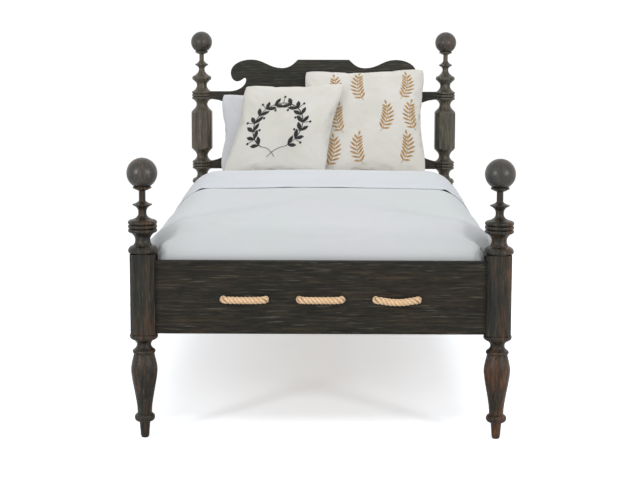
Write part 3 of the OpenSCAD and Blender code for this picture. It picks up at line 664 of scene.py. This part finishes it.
def outer_half(d, g=0.0):
    """Right half of the duvet's outside at distance d from the mattress's foot, grown by g."""
    reach, hem, top = outer_reach(d), hem_z(d), top_z(d) + g
    soft, full = softness(d), fullness(d)
    curve = [
        (reach - blend_of(0.03, blend_of(0.161, 0.15, full), soft), top),
        (reach - blend_of(0.012, blend_of(0.081, 0.05, full), soft) + g * 0.45, top),
        (reach - blend_of(0.002, blend_of(0.011, 0.002, full), soft) + g,
         shoulder_z(hem, top - g, soft) + g * 0.62),
        (reach + g - (TUCK_TAPER if tucked(d) else 0), hem),
    ]
    crown = 0.005 * soft
    points = []
    for k in range(FLAT_CUTS):
        t = k / FLAT_CUTS
        points.append((curve[0][0] * t, top + crown * (1 + math.cos(math.pi * t)) / 2))
    return points + [bezier(curve, k / SIDE_CUTS) for k in range(SIDE_CUTS + 1)]


def under_half(d):
    """Right half of the duvet's underside, with as many points as outer_half."""
    reach, hem, top, soft = inner_reach(d), hem_z(d), under_z(d), softness(d)
    reach -= TUCK_TAPER if tucked(d) else 0
    edge = hem if tucked(d) else max(hem, RAIL_TOP + 0.003)
    curve = [
        (reach - blend_of(0.02, 0.087, soft), top),
        (reach - blend_of(0.008, 0.052, soft), top),
        (reach - blend_of(0.002, 0.012, soft),
         edge + (top - edge) * blend_of(0.6, 0.31, soft)),
        (reach, edge),
    ]
    points = [(curve[0][0] * k / FLAT_CUTS, top) for k in range(FLAT_CUTS)]
    hem_cuts = 4
    side_cuts = SIDE_CUTS - hem_cuts
    points += [bezier(curve, k / side_cuts) for k in range(side_cuts + 1)]
    return points + [(reach, edge + (hem - edge) * k / hem_cuts) for k in range(1, hem_cuts + 1)]


def across(half, d):
    """Both halves of a section, from hem to hem. The left is drawn in a little near the foot."""
    left = 1 - 0.024 * share(d, [(-0.5, 0), (40, 1), (110, 0.75), (240, 0.35), (420, 0)])
    return [(-x * left, z) for x, z in half[:0:-1]] + list(half)


def grid_faces(rows, columns):
    """The cells of a grid of points, row after row."""
    starts = [r * columns + c for r in range(rows - 1) for c in range(columns - 1)]
    return [(a, a + 1, a + columns + 1, a + columns) for a in starts]


def closed_quilt(name, outer_rows, under_rows, material):
    """A closed shell between an outside and an underside of as many points."""
    rows, columns = len(outer_rows), len(outer_rows[0])
    points = [p for row in outer_rows for p in row] + [p for row in under_rows for p in row]
    base = rows * columns
    faces = grid_faces(rows, columns)
    faces += [(base + a, base + f, base + e, base + b) for a, b, e, f in faces]

    def rim(a, b):
        return a, b, base + b, base + a

    for c, way in ((0, 1), (columns - 1, -1)):
        faces += [rim(r * columns + c, (r + 1) * columns + c)[::way] for r in range(rows - 1)]
    for r, way in ((0, -1), (rows - 1, 1)):
        faces += [rim(r * columns + c, r * columns + c + 1)[::way] for c in range(columns - 1)]
    shell = add_mesh(name, points, faces, material)
    bm = bmesh.new()
    bm.from_mesh(shell.data)
    bmesh.ops.recalc_face_normals(bm, faces=bm.faces)
    bm.to_mesh(shell.data)
    bm.free()
    return shell


def place_of(d):
    """The Y of distance d from the mattress's foot."""
    return -MATTRESS_LENGTH / 2 + d


def washed_linen():
    """Pale blue-grey linen with a plain weave."""
    p = Paint("washed_linen", 0.88, 0.22, sheen=(0.15, 0.45))
    spot = p.place()
    cloud = p.noise(spot, 2.6, 3, 0.5)
    cloud_fine = p.noise(spot, 14, 3, 0.55)
    slub = p.noise(p.stretch(spot, (30, 420, 420)), 1.0, 2)
    colour = p.ramp(
        cloud, (0.38, (0.64, 0.672, 0.68)), (0.5, (0.66, 0.682, 0.69)), (0.62, (0.672, 0.678, 0.706)))
    colour = p.tint(
        colour, (cloud_fine, 0.35, 0.7, 0.16, (0.7, 0.71, 0.705)),
        (slub, 0.6, 0.78, 0.1, (0.58, 0.6, 0.6)))
    threads = p.weave(spot, spot, "XY", 520, 1.2, 2)
    return p.finish(colour, normal=p.bump(p.math("ADD", threads, slub), 0.22, 0.0004))


def crisp_cotton(name, low, mid, high):
    p = Paint(name, 0.84, 0.24, sheen=(0.12, 0.4))
    spot = p.place()
    colour = p.ramp(p.noise(spot, 3.4, 3, 0.5), (0.36, low), (0.5, mid), (0.64, high))
    threads = p.weave(spot, p.place(turn=(0, math.radians(45), 0)), "XZ", 760, 0.8, 1)
    return p.finish(colour, normal=p.bump(threads, 0.16, 0.0003))


def striped_ticking():
    p = Paint("striped_ticking", 0.9, 0.2)
    spot = p.place()
    stripe = p.wave(spot, 22, 0.0, 0)
    thread = p.noise(p.stretch(spot, (900, 160, 900)), 1.0, 2)
    colour = p.tint(
        (0.74, 0.72, 0.67), (stripe, 0.8, 0.92, 0.55, (0.45, 0.5, 0.56)),
        (thread, 0.35, 0.75, 0.25, (0.62, 0.6, 0.55)))
    return p.finish(colour, normal=p.bump(thread, 0.25, 0.0004))


linen = washed_linen()
sheet_cotton = crisp_cotton(
    "crisp_sheet_cotton", (0.655, 0.685, 0.712), (0.668, 0.692, 0.728), (0.685, 0.7, 0.742))
pillow_cotton = crisp_cotton(
    "white_pillow_cotton", (0.69, 0.7, 0.735), (0.73, 0.735, 0.76), (0.75, 0.75, 0.77))
ticking = striped_ticking()


def cushion_cotton():
    p = Paint("cream_cushion_cotton", 0.9, 0.2, sheen=(0.12, 0.5))
    cloud = p.noise(p.place(), 7, 3, 0.5)
    cloth = p.place(uv="cloth")
    fleck = p.noise(p.place(uv="cloth", scale=(90, 700, 1)), 1.0, 2)
    colour = p.ramp(
        cloud, (0.35, (0.66, 0.645, 0.585)), (0.5, (0.69, 0.672, 0.615)), (0.65, (0.715, 0.695, 0.65)))
    colour = p.tint(colour, (fleck, 0.62, 0.78, 0.22, (0.52, 0.49, 0.43)))
    return p.finish(colour, normal=p.bump(p.weave(cloth, cloth, "XY", 300, 0.7, 1), 0.3, 0.0005))


cream = cushion_cotton()


def wrinkle(x, y, z):
    """Shallow creases in the duvet, most of them across the bed near its foot."""
    foot = min(1.0, max(0.0, 1 - (y + 0.955) / 0.42))
    ridge = noise.fractal(Vector((x * 2.4, y * 15, z * 12)), 1.0, 2.1, 3)
    crease = max(0.0, 0.16 - abs(noise.noise(Vector((x * 3.0 + 4, y * 9, z * 11))))) / 0.16
    lump = noise.fractal(Vector((x * 3.1 + 7, y * 3.1, z * 5)), 1.0, 2.0, 2)
    clear = min(1.0, max(0.0, (y + 0.96) / 0.03))
    return foot ** 1.3 * (0.0034 + 0.0016 * clear) * (ridge - 0.65 * crease) + 0.0026 * lump


def make_duvet():
    foot = [
        -0.0125, -0.008, -0.004, TUCK_END, -0.0005, 0.002, 0.0045, 0.008, 0.0125, 0.017, 0.0225,
        0.03, 0.0375, 0.045, 0.0525, 0.06, 0.067, 0.074, 0.08, 0.082, 0.084, 0.086, 0.093, 0.1,
        0.107, CORNER_END]
    cuts = 110
    rest = [CORNER_END + k * (DUVET_L - CORNER_END) / cuts for k in range(1, cuts + 1)]
    outer_rows, under_rows = [], []
    for d in foot + rest:
        y = place_of(d)
        outer_rows.append([(x, y, z) for x, z in across(outer_half(d), d)])
        under_rows.append([(x, y, z) for x, z in across(under_half(d), d)])
    duvet = closed_quilt("linen_duvet", outer_rows, under_rows, linen)
    spots, normals = vertex_rows(duvet.data), vertex_rows(duvet.data, "normal")
    for k in range(len(outer_rows) * len(outer_rows[0])):
        x, y, z = spots[k]
        covered = min(1.0, max(0.0, (y - place_of(BAND_START)) / 0.02))
        spots[k] += normals[k] * (wrinkle(x, y, z) * (1 - covered) - 0.0004)
    set_coords(duvet, spots)
    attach(duvet, "duvet")
    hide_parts("duvet")
    return duvet


BAND_GAP, BAND_T = 0.0006, 0.0032


def hem_shape(point):
    """The hem wanders a little, and stands off the duvet where it is creased at the corners."""
    x, y, z = point
    near = math.exp(-max(0.0, y - place_of(BAND_START)) / 0.085)
    wander = 0.007 * noise.noise(Vector((x * 5.5, 2.0, 0))) + 0.003 * noise.noise(Vector((x * 17, 5.0, 0)))
    lift = 0.0
    for middle, wide, high in (
        (-0.436, 0.017, 0.0046), (0.446, 0.013, 0.0062), (-0.13, 0.03, 0.0016), (0.06, 0.045, 0.0008),
    ):
        lift += high * math.exp(-((x - middle) / wide) ** 2)
    ripple = 0.002 * noise.fractal(Vector((x * 4.2, y * 8.5, 1.0)), 1.0, 2.0, 3)
    return (x, y + wander * near, z + lift * near ** 1.5 + max(-0.0004, ripple) * min(1.0, (1.05 - near)))


def make_turned_down_sheet():
    """The top sheet: over the duvet from its head end toward the foot, and folded under at its edge."""
    end, start = DUVET_L, BAND_START
    rows = []

    def row(d, g):
        half = outer_half(d, g)[: FLAT_CUTS + SIDE_CUTS - 2]
        return [(x, place_of(d), z) for x, z in across(half, d)]

    for k in range(7):
        t = k / 6
        rows.append(row(start + 0.1 * (1 - t) + 0.004 * t, BAND_GAP + 0.0006))
    for k in range(1, 8):
        a = math.pi * k / 8
        middle, half = (BAND_GAP + BAND_T) / 2 + 0.0004, (BAND_T - 0.0006) / 2
        g = middle - half * math.cos(a)
        rows.append([(x, y - 0.0065 * math.sin(a), z) for x, y, z in row(start + 0.004, g)])
    for k in range(61):
        t = k / 60
        rows.append(row(start + 0.006 + (end - start - 0.006) * t, BAND_GAP + BAND_T))
    points = [hem_shape(p) for r in rows for p in r]
    return add_mesh("turned_down_sheet", points, grid_faces(len(rows), len(rows[0])), sheet_cotton)


turned_down = make_turned_down_sheet()
duvet = make_duvet()
thicken = turned_down.modifiers.new("cloth", "SOLIDIFY")
thicken.thickness, thicken.offset = 0.0008, 0.0
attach(turned_down, "duvet")
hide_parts("top_sheet")


def make_mattress():
    """A boxed mattress with soft edges above and below."""
    corner, edge = 0.082, 0.062
    section = []
    for k in range(9):
        a = -math.pi / 2 + math.pi / 2 * k / 8
        section.append((corner + (math.cos(a) - 1) * edge * 0.7, edge * 0.7 * (1 + math.sin(a))))
    for k in range(1, 12):
        t = k / 12
        z = edge * 0.7 + (MATTRESS_H - edge * 1.7) * t
        section.append((corner + 0.002 * math.sin(math.pi * t) - 0.002, z))
    for k in range(9):
        a = math.pi / 2 * k / 8
        section.append((corner + (math.cos(a) - 1) * edge, MATTRESS_H - edge + edge * math.sin(a)))
    outline = []
    for cx, cy, start in ((1, 1, 0), (-1, 1, 90), (-1, -1, 180), (1, -1, 270)):
        middle = cx * (MATTRESS_HALF - corner), cy * (MATTRESS_LENGTH / 2 - corner)
        for k in range(13):
            a = math.radians(start + 90 * k / 12)
            outline.append((*middle, math.cos(a), math.sin(a)))
    points, faces = [], []
    for r, z in section:
        points += [(cx + r * ux, cy + r * uy, MATTRESS_Z + z) for cx, cy, ux, uy in outline]
    n, m = len(outline), len(section)
    for j in range(m - 1):
        for i in range(n):
            a, b = j * n + i, j * n + (i + 1) % n
            faces.append((a, b, b + n, a + n))
    body = add_mesh("boxed_mattress", points, faces, ticking)
    bm = bmesh.new()
    bm.from_mesh(body.data)
    bm.verts.ensure_lookup_table()
    lids = [bm.faces.new([bm.verts[row * n + i] for i in range(n)]) for row in (0, m - 1)]
    bmesh.ops.inset_individual(bm, faces=lids, thickness=0.05)
    bmesh.ops.triangulate(bm, faces=lids)
    bmesh.ops.recalc_face_normals(bm, faces=bm.faces)
    bm.to_mesh(body.data)
    bm.free()
    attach(body, "mattress")
    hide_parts("mattress")


make_mattress()

CELL = 0.0058  # side of one cell of a cushion's cloth


class SewnCushion:
    """Two squares of cloth sewn together. x is from their middle, and y up from the lower seam."""

    def __init__(self, name, w, h, t, seed):
        self.size = (w, h, t)
        self.rows, self.columns = round(h / CELL), round(w / CELL)
        u, v = np.meshgrid(np.linspace(-1, 1, self.columns + 1), np.linspace(-1, 1, self.rows + 1))
        crown = np.clip((1 - u ** 2) * (1 - v ** 2), 0, 1) ** 0.55
        slack = 1 - 0.045 * np.abs(u * v) ** 6
        x = w / 2 * u * slack * (1 - 0.022 * (1 - v ** 2))
        y = h / 2 * (1 + v * slack * (1 - 0.022 * (1 - u ** 2)))
        rough = np.array([
            [noise.fractal(Vector((a * 16 + seed, b * 16, seed)), 1.0, 2.0, 2) for a, b in zip(ra, rb)]
            for ra, rb in zip(x, y)
        ])
        z = 0.45 * t * crown + 0.0028 * rough * np.clip(crown * 4, 0, 1)
        front = np.stack([x, y, z], axis=-1)
        self.front_at = np.arange(z.size).reshape(z.shape)
        inner = np.zeros(z.shape, dtype=bool)
        inner[1:-1, 1:-1] = True
        front[~inner, 2] = 0.0
        back_at = self.front_at.copy()
        back_at[inner] = z.size + np.arange(inner.sum())
        points = np.concatenate([front.reshape(-1, 3), front[inner] * (1, 1, -1)])
        f, k = self.front_at, back_at
        faces = [
            quad for r in range(self.rows) for c in range(self.columns) for quad in (
                (f[r, c], f[r, c + 1], f[r + 1, c + 1], f[r + 1, c]),
                (k[r, c], k[r + 1, c], k[r + 1, c + 1], k[r, c + 1]))
        ]
        self.thing = add_mesh(name, points, [[int(i) for i in face] for face in faces])
        put_uv(self.thing, "cloth", points[:, :2])

    def fill_with_air(self, frames=18, pressure=2.6, furthest=0.026):
        """The seams pucker and the faces swell. The result is written into the mesh."""
        before = vertex_rows(self.thing.data)
        cloth = self.thing.modifiers.new("air", "CLOTH")
        stuff = cloth.settings
        stuff.quality, stuff.mass = 5, 0.25
        stuff.tension_stiffness, stuff.compression_stiffness = 60, 30
        stuff.shear_stiffness, stuff.bending_stiffness = 20, 0.15
        stuff.tension_damping = stuff.compression_damping = stuff.shear_damping = 8
        stuff.bending_damping = 0.8
        stuff.use_pressure = True
        stuff.uniform_pressure_force = pressure
        stuff.effector_weights.gravity = 0.0
        cloth.collision_settings.use_collision = False
        cloth.point_cache.frame_start, cloth.point_cache.frame_end = 1, frames
        for number in range(1, frames + 1):
            bpy.context.scene.frame_set(number)
        swollen = evaluated_mesh(self.thing)
        moved = vertex_rows(swollen) - before
        bpy.data.meshes.remove(swollen)
        self.thing.modifiers.remove(cloth)
        bpy.context.scene.frame_set(1)
        far = np.linalg.norm(moved, axis=1, keepdims=True)
        set_coords(self.thing, before + moved * np.minimum(1, furthest / np.maximum(far, 1e-9)))

    def cut_to_size(self):
        """Back to the width, height and thickness that it should have."""
        points = vertex_rows(self.thing.data)
        low, high = points.min(0), points.max(0)
        w, h, t = self.size
        points = (points - (low + high) / 2) * (np.array([w, h, t]) / (high - low)) + (0, h / 2, 0)
        set_coords(self.thing, points)

    def front(self):
        return vertex_rows(self.thing.data)[self.front_at]


def leaned(points, h, lean, slump, roll, yaw):
    """The cushion's plane stood up and leaned back. slump slides its top edge sideways."""
    lean, roll, yaw = (math.radians(a) for a in (lean, roll, yaw))
    px, py, pz = points[..., 0], points[..., 1], points[..., 2]
    side = px + slump * (py - h / 2)
    x = side * math.cos(roll) - (py - h / 2) * math.sin(roll)
    y = h / 2 + side * math.sin(roll) + (py - h / 2) * math.cos(roll)
    back = y * math.sin(lean) - pz * math.cos(lean)
    return np.stack([
        x * math.cos(yaw) - back * math.sin(yaw), x * math.sin(yaw) + back * math.cos(yaw),
        y * math.cos(lean) + pz * math.sin(lean)], axis=-1)


def standing_cushion(name, node, body, material, size, x, back_y, lean,
                     slump=0.0, roll=0.0, yaw=0.0, *, seed):
    cushion = SewnCushion(name, *size, seed)
    cushion.fill_with_air()
    cushion.cut_to_size()
    thing = cushion.thing
    points = leaned(vertex_rows(thing.data), size[1], lean, slump, roll, yaw)
    points += (x, back_y - points[:, 1].max(), BED_TOP + TOUCH - points[:, 2].min())
    set_coords(thing, points)
    thing.data.materials.append(material)
    smooth = thing.modifiers.new("smooth", "SUBSURF")
    smooth.levels = smooth.render_levels = 1
    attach(thing, body)
    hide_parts(node)
    return cushion


HEADBOARD_FRONT = 0.966
standing_cushion(
    "standing_sleeping_pillow", "sleeping_pillow", "sleeping_pillow", pillow_cotton,
    (0.66, 0.335, 0.092), -0.103, HEADBOARD_FRONT - TOUCH, 16, seed=3.0)
right_square = standing_cushion(
    "right_square_cushion", "right_cushion", "right_cushion", cream,
    (0.508, 0.508, 0.092), 0.172, HEADBOARD_FRONT - TOUCH, 34, 0.04, 1.5, seed=11.0)
left_square = standing_cushion(
    "left_square_cushion", "left_cushion", "left_cushion", cream,
    (0.42, 0.42, 0.092), -0.172, HEADBOARD_FRONT - 0.108, 31, 0.19, 2, -6, seed=23.0)


# ---- Embroidery ----
def thread_tree():
    """Every line that comes in becomes a thread that is thin at both ends."""
    g = Grower("threads", radius="Float", sides="Int", material="Material")
    taper = g.node("ShaderNodeFloatCurve", {"Value": g.field("SplineParameter", "Factor")})
    points, thin, end = taper.mapping.curves[0].points, 0.45, 0.15
    for k in (0, 1):
        points[k].location = (k, thin)
    for at in (end, 1 - end):
        points.new(at, 1.0)
    taper.mapping.update()
    width = taper.outputs["Value"]
    wide = g.node("GeometryNodeSetCurveRadius", {"Curve": g.curve(), "Radius": width}).outputs["Curve"]
    return g.give(g.smooth(g.tube(wide, g.ring("radius"), Scale=width)))


threads = thread_tree()


def cotton_thread(name, dark, light):
    p = Paint(name, 0.62, 0.35, sheen=(0.2, 0.5))
    fleck = p.noise(p.place(), 260, 2)
    return p.finish(p.ramp(fleck, (0.35, dark), (0.65, light)))


def on_cloth(cushion, front, x, y, lift):
    """The place x, y on a cushion's front, lifted off the cloth. 0, 0 is the middle of the lower seam."""
    w, h, _ = cushion.size
    r, c = y / h * cushion.rows, (x / w + 0.5) * cushion.columns
    r, c = min(max(r, 0.5), cushion.rows - 0.5), min(max(c, 0.5), cushion.columns - 0.5)
    i, j = int(r), int(c)
    a, b = r - i, c - j
    p00, p01, p10, p11 = front[i, j], front[i, j + 1], front[i + 1, j], front[i + 1, j + 1]
    spot = (p00 * (1 - b) + p01 * b) * (1 - a) + (p10 * (1 - b) + p11 * b) * a
    right, up = (p01 - p00) * (1 - a) + (p11 - p10) * a, (p10 - p00) * (1 - b) + (p11 - p01) * b
    face = np.cross(right, up)
    return Vector(spot + lift * face / np.linalg.norm(face))


def satin_leaf(x, y, angle, length, width, pitch=0.0017):
    """Short slanting stitches that fill a pointed oval leaf which starts at x, y."""
    lines = []
    ca, sa = math.cos(angle), math.sin(angle)
    count = max(4, int(length / pitch))
    for k in range(1, count):
        t = k / count
        half = width / 2 * math.sin(math.pi * t ** 0.85)
        slant = 0.45 * half
        stitch = []
        for q in (-1, -0.5, 0, 0.5, 1):
            along, side = t * length + slant * abs(q), half * q
            stitch.append((x + along * ca - side * sa, y + along * sa + side * ca))
        lines.append(stitch)
    return lines


def stem_stitch(points):
    """A run of short overlapping stitches along a line."""
    return [points[k:k + 4] for k in range(0, len(points) - 2, 2)]


def berry(x, y, radius):
    lines = []
    count = max(5, int(2 * radius / 0.0013))
    for k in range(count):
        q = -1 + (2 * k + 1) / count
        half = radius * math.sqrt(1 - q * q)
        at = y + q * radius
        lines.append([(x - half, at), (x, at + 0.0002), (x + half, at)])
    return lines


def wreath():
    """A plain ring of oval leaves with berries between them, open at its foot."""
    ring, tall = 0.098, 1.06
    cx, cy = -0.02, 0.205
    last, top = 14, 7

    def on_ring(a, r, tall):
        return cx + r * math.cos(a), cy + r * tall * math.sin(a)

    path = [on_ring(math.radians(-62 + 304 * k / 120), ring, tall) for k in range(121)]
    lines = stem_stitch(path) + stem_stitch([(px + 0.0012, py + 0.0009) for px, py in path])
    for k in range(last + 1):
        a = math.radians(-54 + 288 * k / last)
        x, y = on_ring(a, ring, tall)
        way = 1 if k <= top else -1
        if k != top:
            for turn, long in ((0.62, 0.043), (-0.68, 0.036)):
                lines += satin_leaf(x, y, a + math.pi / 2 * way + turn * way, long, 0.0165)
        if 0 < k < last:
            bx, by = on_ring(a, ring + (0.03 if k % 2 else -0.026), 1.05)
            lines += stem_stitch([(x + (bx - x) * t / 6, y + (by - y) * t / 6) for t in range(7)])
            lines += berry(bx, by, 0.0048)
    for side in (-1, 1):
        lines += stem_stitch([
            (cx + side * (0.046 - 0.062 * t), cy - ring * 0.93 - 0.046 * t + 0.012 * math.sin(3 * t))
            for t in (k / 14 for k in range(15))
        ])
    return lines


def sprig(x, y, angle, length):
    """A bending stem with oval leaves in pairs that get shorter toward its tip."""
    path = []
    turn = 0.5 if math.cos(angle) > 0 else -0.5
    for k in range(33):
        t = k / 32
        bend = angle + turn * (t - 0.5)
        path.append((x + length * t * math.cos(bend), y + length * t * math.sin(bend)))
    lines = stem_stitch(path)
    for k in range(4, 31, 4):
        t = k / 32
        lead = angle + turn * (2 * t - 0.5)
        long = 0.0345 * math.sin(math.pi * (0.22 + 0.62 * t)) + 0.003
        for side in (-1, 1):
            lines += satin_leaf(*path[k], lead + side * (0.98 - 0.3 * t), long, 0.0092, 0.002)
    lines += satin_leaf(*path[-1], angle + turn * 1.4, 0.022, 0.0085, 0.002)
    return lines


def rows_of_sprigs():
    lines = []
    for row, (y, start) in enumerate(((0.04, -0.15), (0.185, -0.085), (0.33, -0.15))):
        for k in range(3):
            lean = math.radians(90 + (24 if (row + k) % 2 else -26))
            lines += sprig(start + 0.148 * k, y + 0.006 * ((k * 7) % 3 - 1), lean, 0.128)
    return lines


def embroider(name, cushion, lines, body, material, radius):
    """lines sewn on the cushion's front. Each stitch stands off the cloth at its middle."""
    front = cushion.front()
    sewn = []
    for line in lines:
        top = len(line) - 1
        sewn.append([
            on_cloth(cushion, front, x, y, 0.0002 + 0.0007 * math.sin(math.pi * k / top))
            for k, (x, y) in enumerate(line)
        ])
    made = grown(add_lines(name, sewn), threads, name, radius=radius, sides=5, material=material)
    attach(made, body)


black_thread = cotton_thread("black_embroidery_thread", (0.01, 0.01, 0.011), (0.022, 0.021, 0.022))
ochre_thread = cotton_thread("ochre_embroidery_thread", (0.41, 0.225, 0.07), (0.6, 0.37, 0.145))
embroider("black_leaf_wreath", left_square, wreath(), "left_cushion", black_thread, 0.00125)
embroider("ochre_sprigs", right_square, rows_of_sprigs(), "right_cushion", ochre_thread, 0.0011)


# ---- Floor, backdrop and light ----
FLOOR_HALF = 4.0
FLOOR_GAIN, FLOOR_GLOW = 1.45, 0.35


def lay_floor():
    """A white studio floor: brighter to the camera than in what it lights."""
    corners = [(x * FLOOR_HALF, y * FLOOR_HALF, 0) for x, y in ((-1, -1), (1, -1), (1, 1), (-1, 1))]
    floor = add_mesh("floor", corners, [(0, 1, 2, 3)])
    p = Paint("white_studio_floor", 1.0, 0.0)
    path = p.node("ShaderNodeLightPath").outputs
    mirrored = p.math("MAXIMUM", path["Is Glossy Ray"], path["Is Transmission Ray"])
    lit = p.mix(mirrored, (0.84, 0.84, 0.84), (1.0, 1.0, 1.0))
    seen = tuple(FLOOR_GAIN * part for part in (0.975, 1.01, 1.06))
    p.join(p.math("MULTIPLY", path["Is Camera Ray"], FLOOR_GLOW), p.shader.inputs["Emission Strength"])
    floor.data.materials.append(p.finish(p.mix(path["Is Camera Ray"], lit, seen)))


def light_the_room():
    """A soft sky that looks white, and rectangular lamps. Only the windows show in gloss."""
    world = bpy.data.worlds.new("studio")
    bpy.context.scene.world = world
    world.use_nodes = True
    sky = Tree(world.node_tree)
    sky.tree.nodes.clear()
    path = sky.node("ShaderNodeLightPath").outputs
    mirrored = sky.math("MAXIMUM", path["Is Glossy Ray"], path["Is Transmission Ray"])
    soft, white = (
        sky.node("ShaderNodeBackground", {"Color": colour, "Strength": strength}).outputs[0]
        for colour, strength in (((0.97, 0.985, 1.0, 1), 0.4), ((1, 1, 1, 1), 1.05))
    )
    seen = sky.math("MAXIMUM", path["Is Camera Ray"], mirrored)
    both = sky.node("ShaderNodeMixShader", {"Fac": seen, 1: soft, 2: white})
    sky.node("ShaderNodeOutputWorld", {"Surface": both.outputs[0]})
    for name, place, aim, size, power in (
        ("window_left", (-3.1, -4.3, 1.75), (0, -0.3, 0.7), (0.5, 1.4), 42),
        ("window_right", (3.2, -4.0, 1.75), (0, 0, 0.7), (0.5, 1.4), 39),
        ("corner_fill_left", (-2.3, -1.7, 2.3), (-0.5, -0.9, 0.6), (1.2, 1.2), 6),
        ("corner_fill_right", (2.3, -1.7, 2.3), (0.5, -0.9, 0.6), (1.2, 1.2), 6),
        ("ceiling", (0.2, 1.15, 3.5), (0, 0.0, 0.5), (2.5, 1.8), 45),
        ("front_fill", (0.1, -3.6, 4.4), (0, -0.9, 0.5), (3.8, 1.4), 51),
    ):
        data = bpy.data.lights.new(name, "AREA")
        data.shape = "RECTANGLE"
        data.size, data.size_y = size
        data.energy = power
        lamp = linked(name, data)
        lamp.location = place
        lamp.visible_glossy = name.startswith("window")
        lamp.rotation_euler = (Vector(aim) - Vector(place)).to_track_quat("-Z", "Y").to_euler()


lay_floor()
light_the_room()

bpy.context.scene.view_settings.view_transform = "Standard"
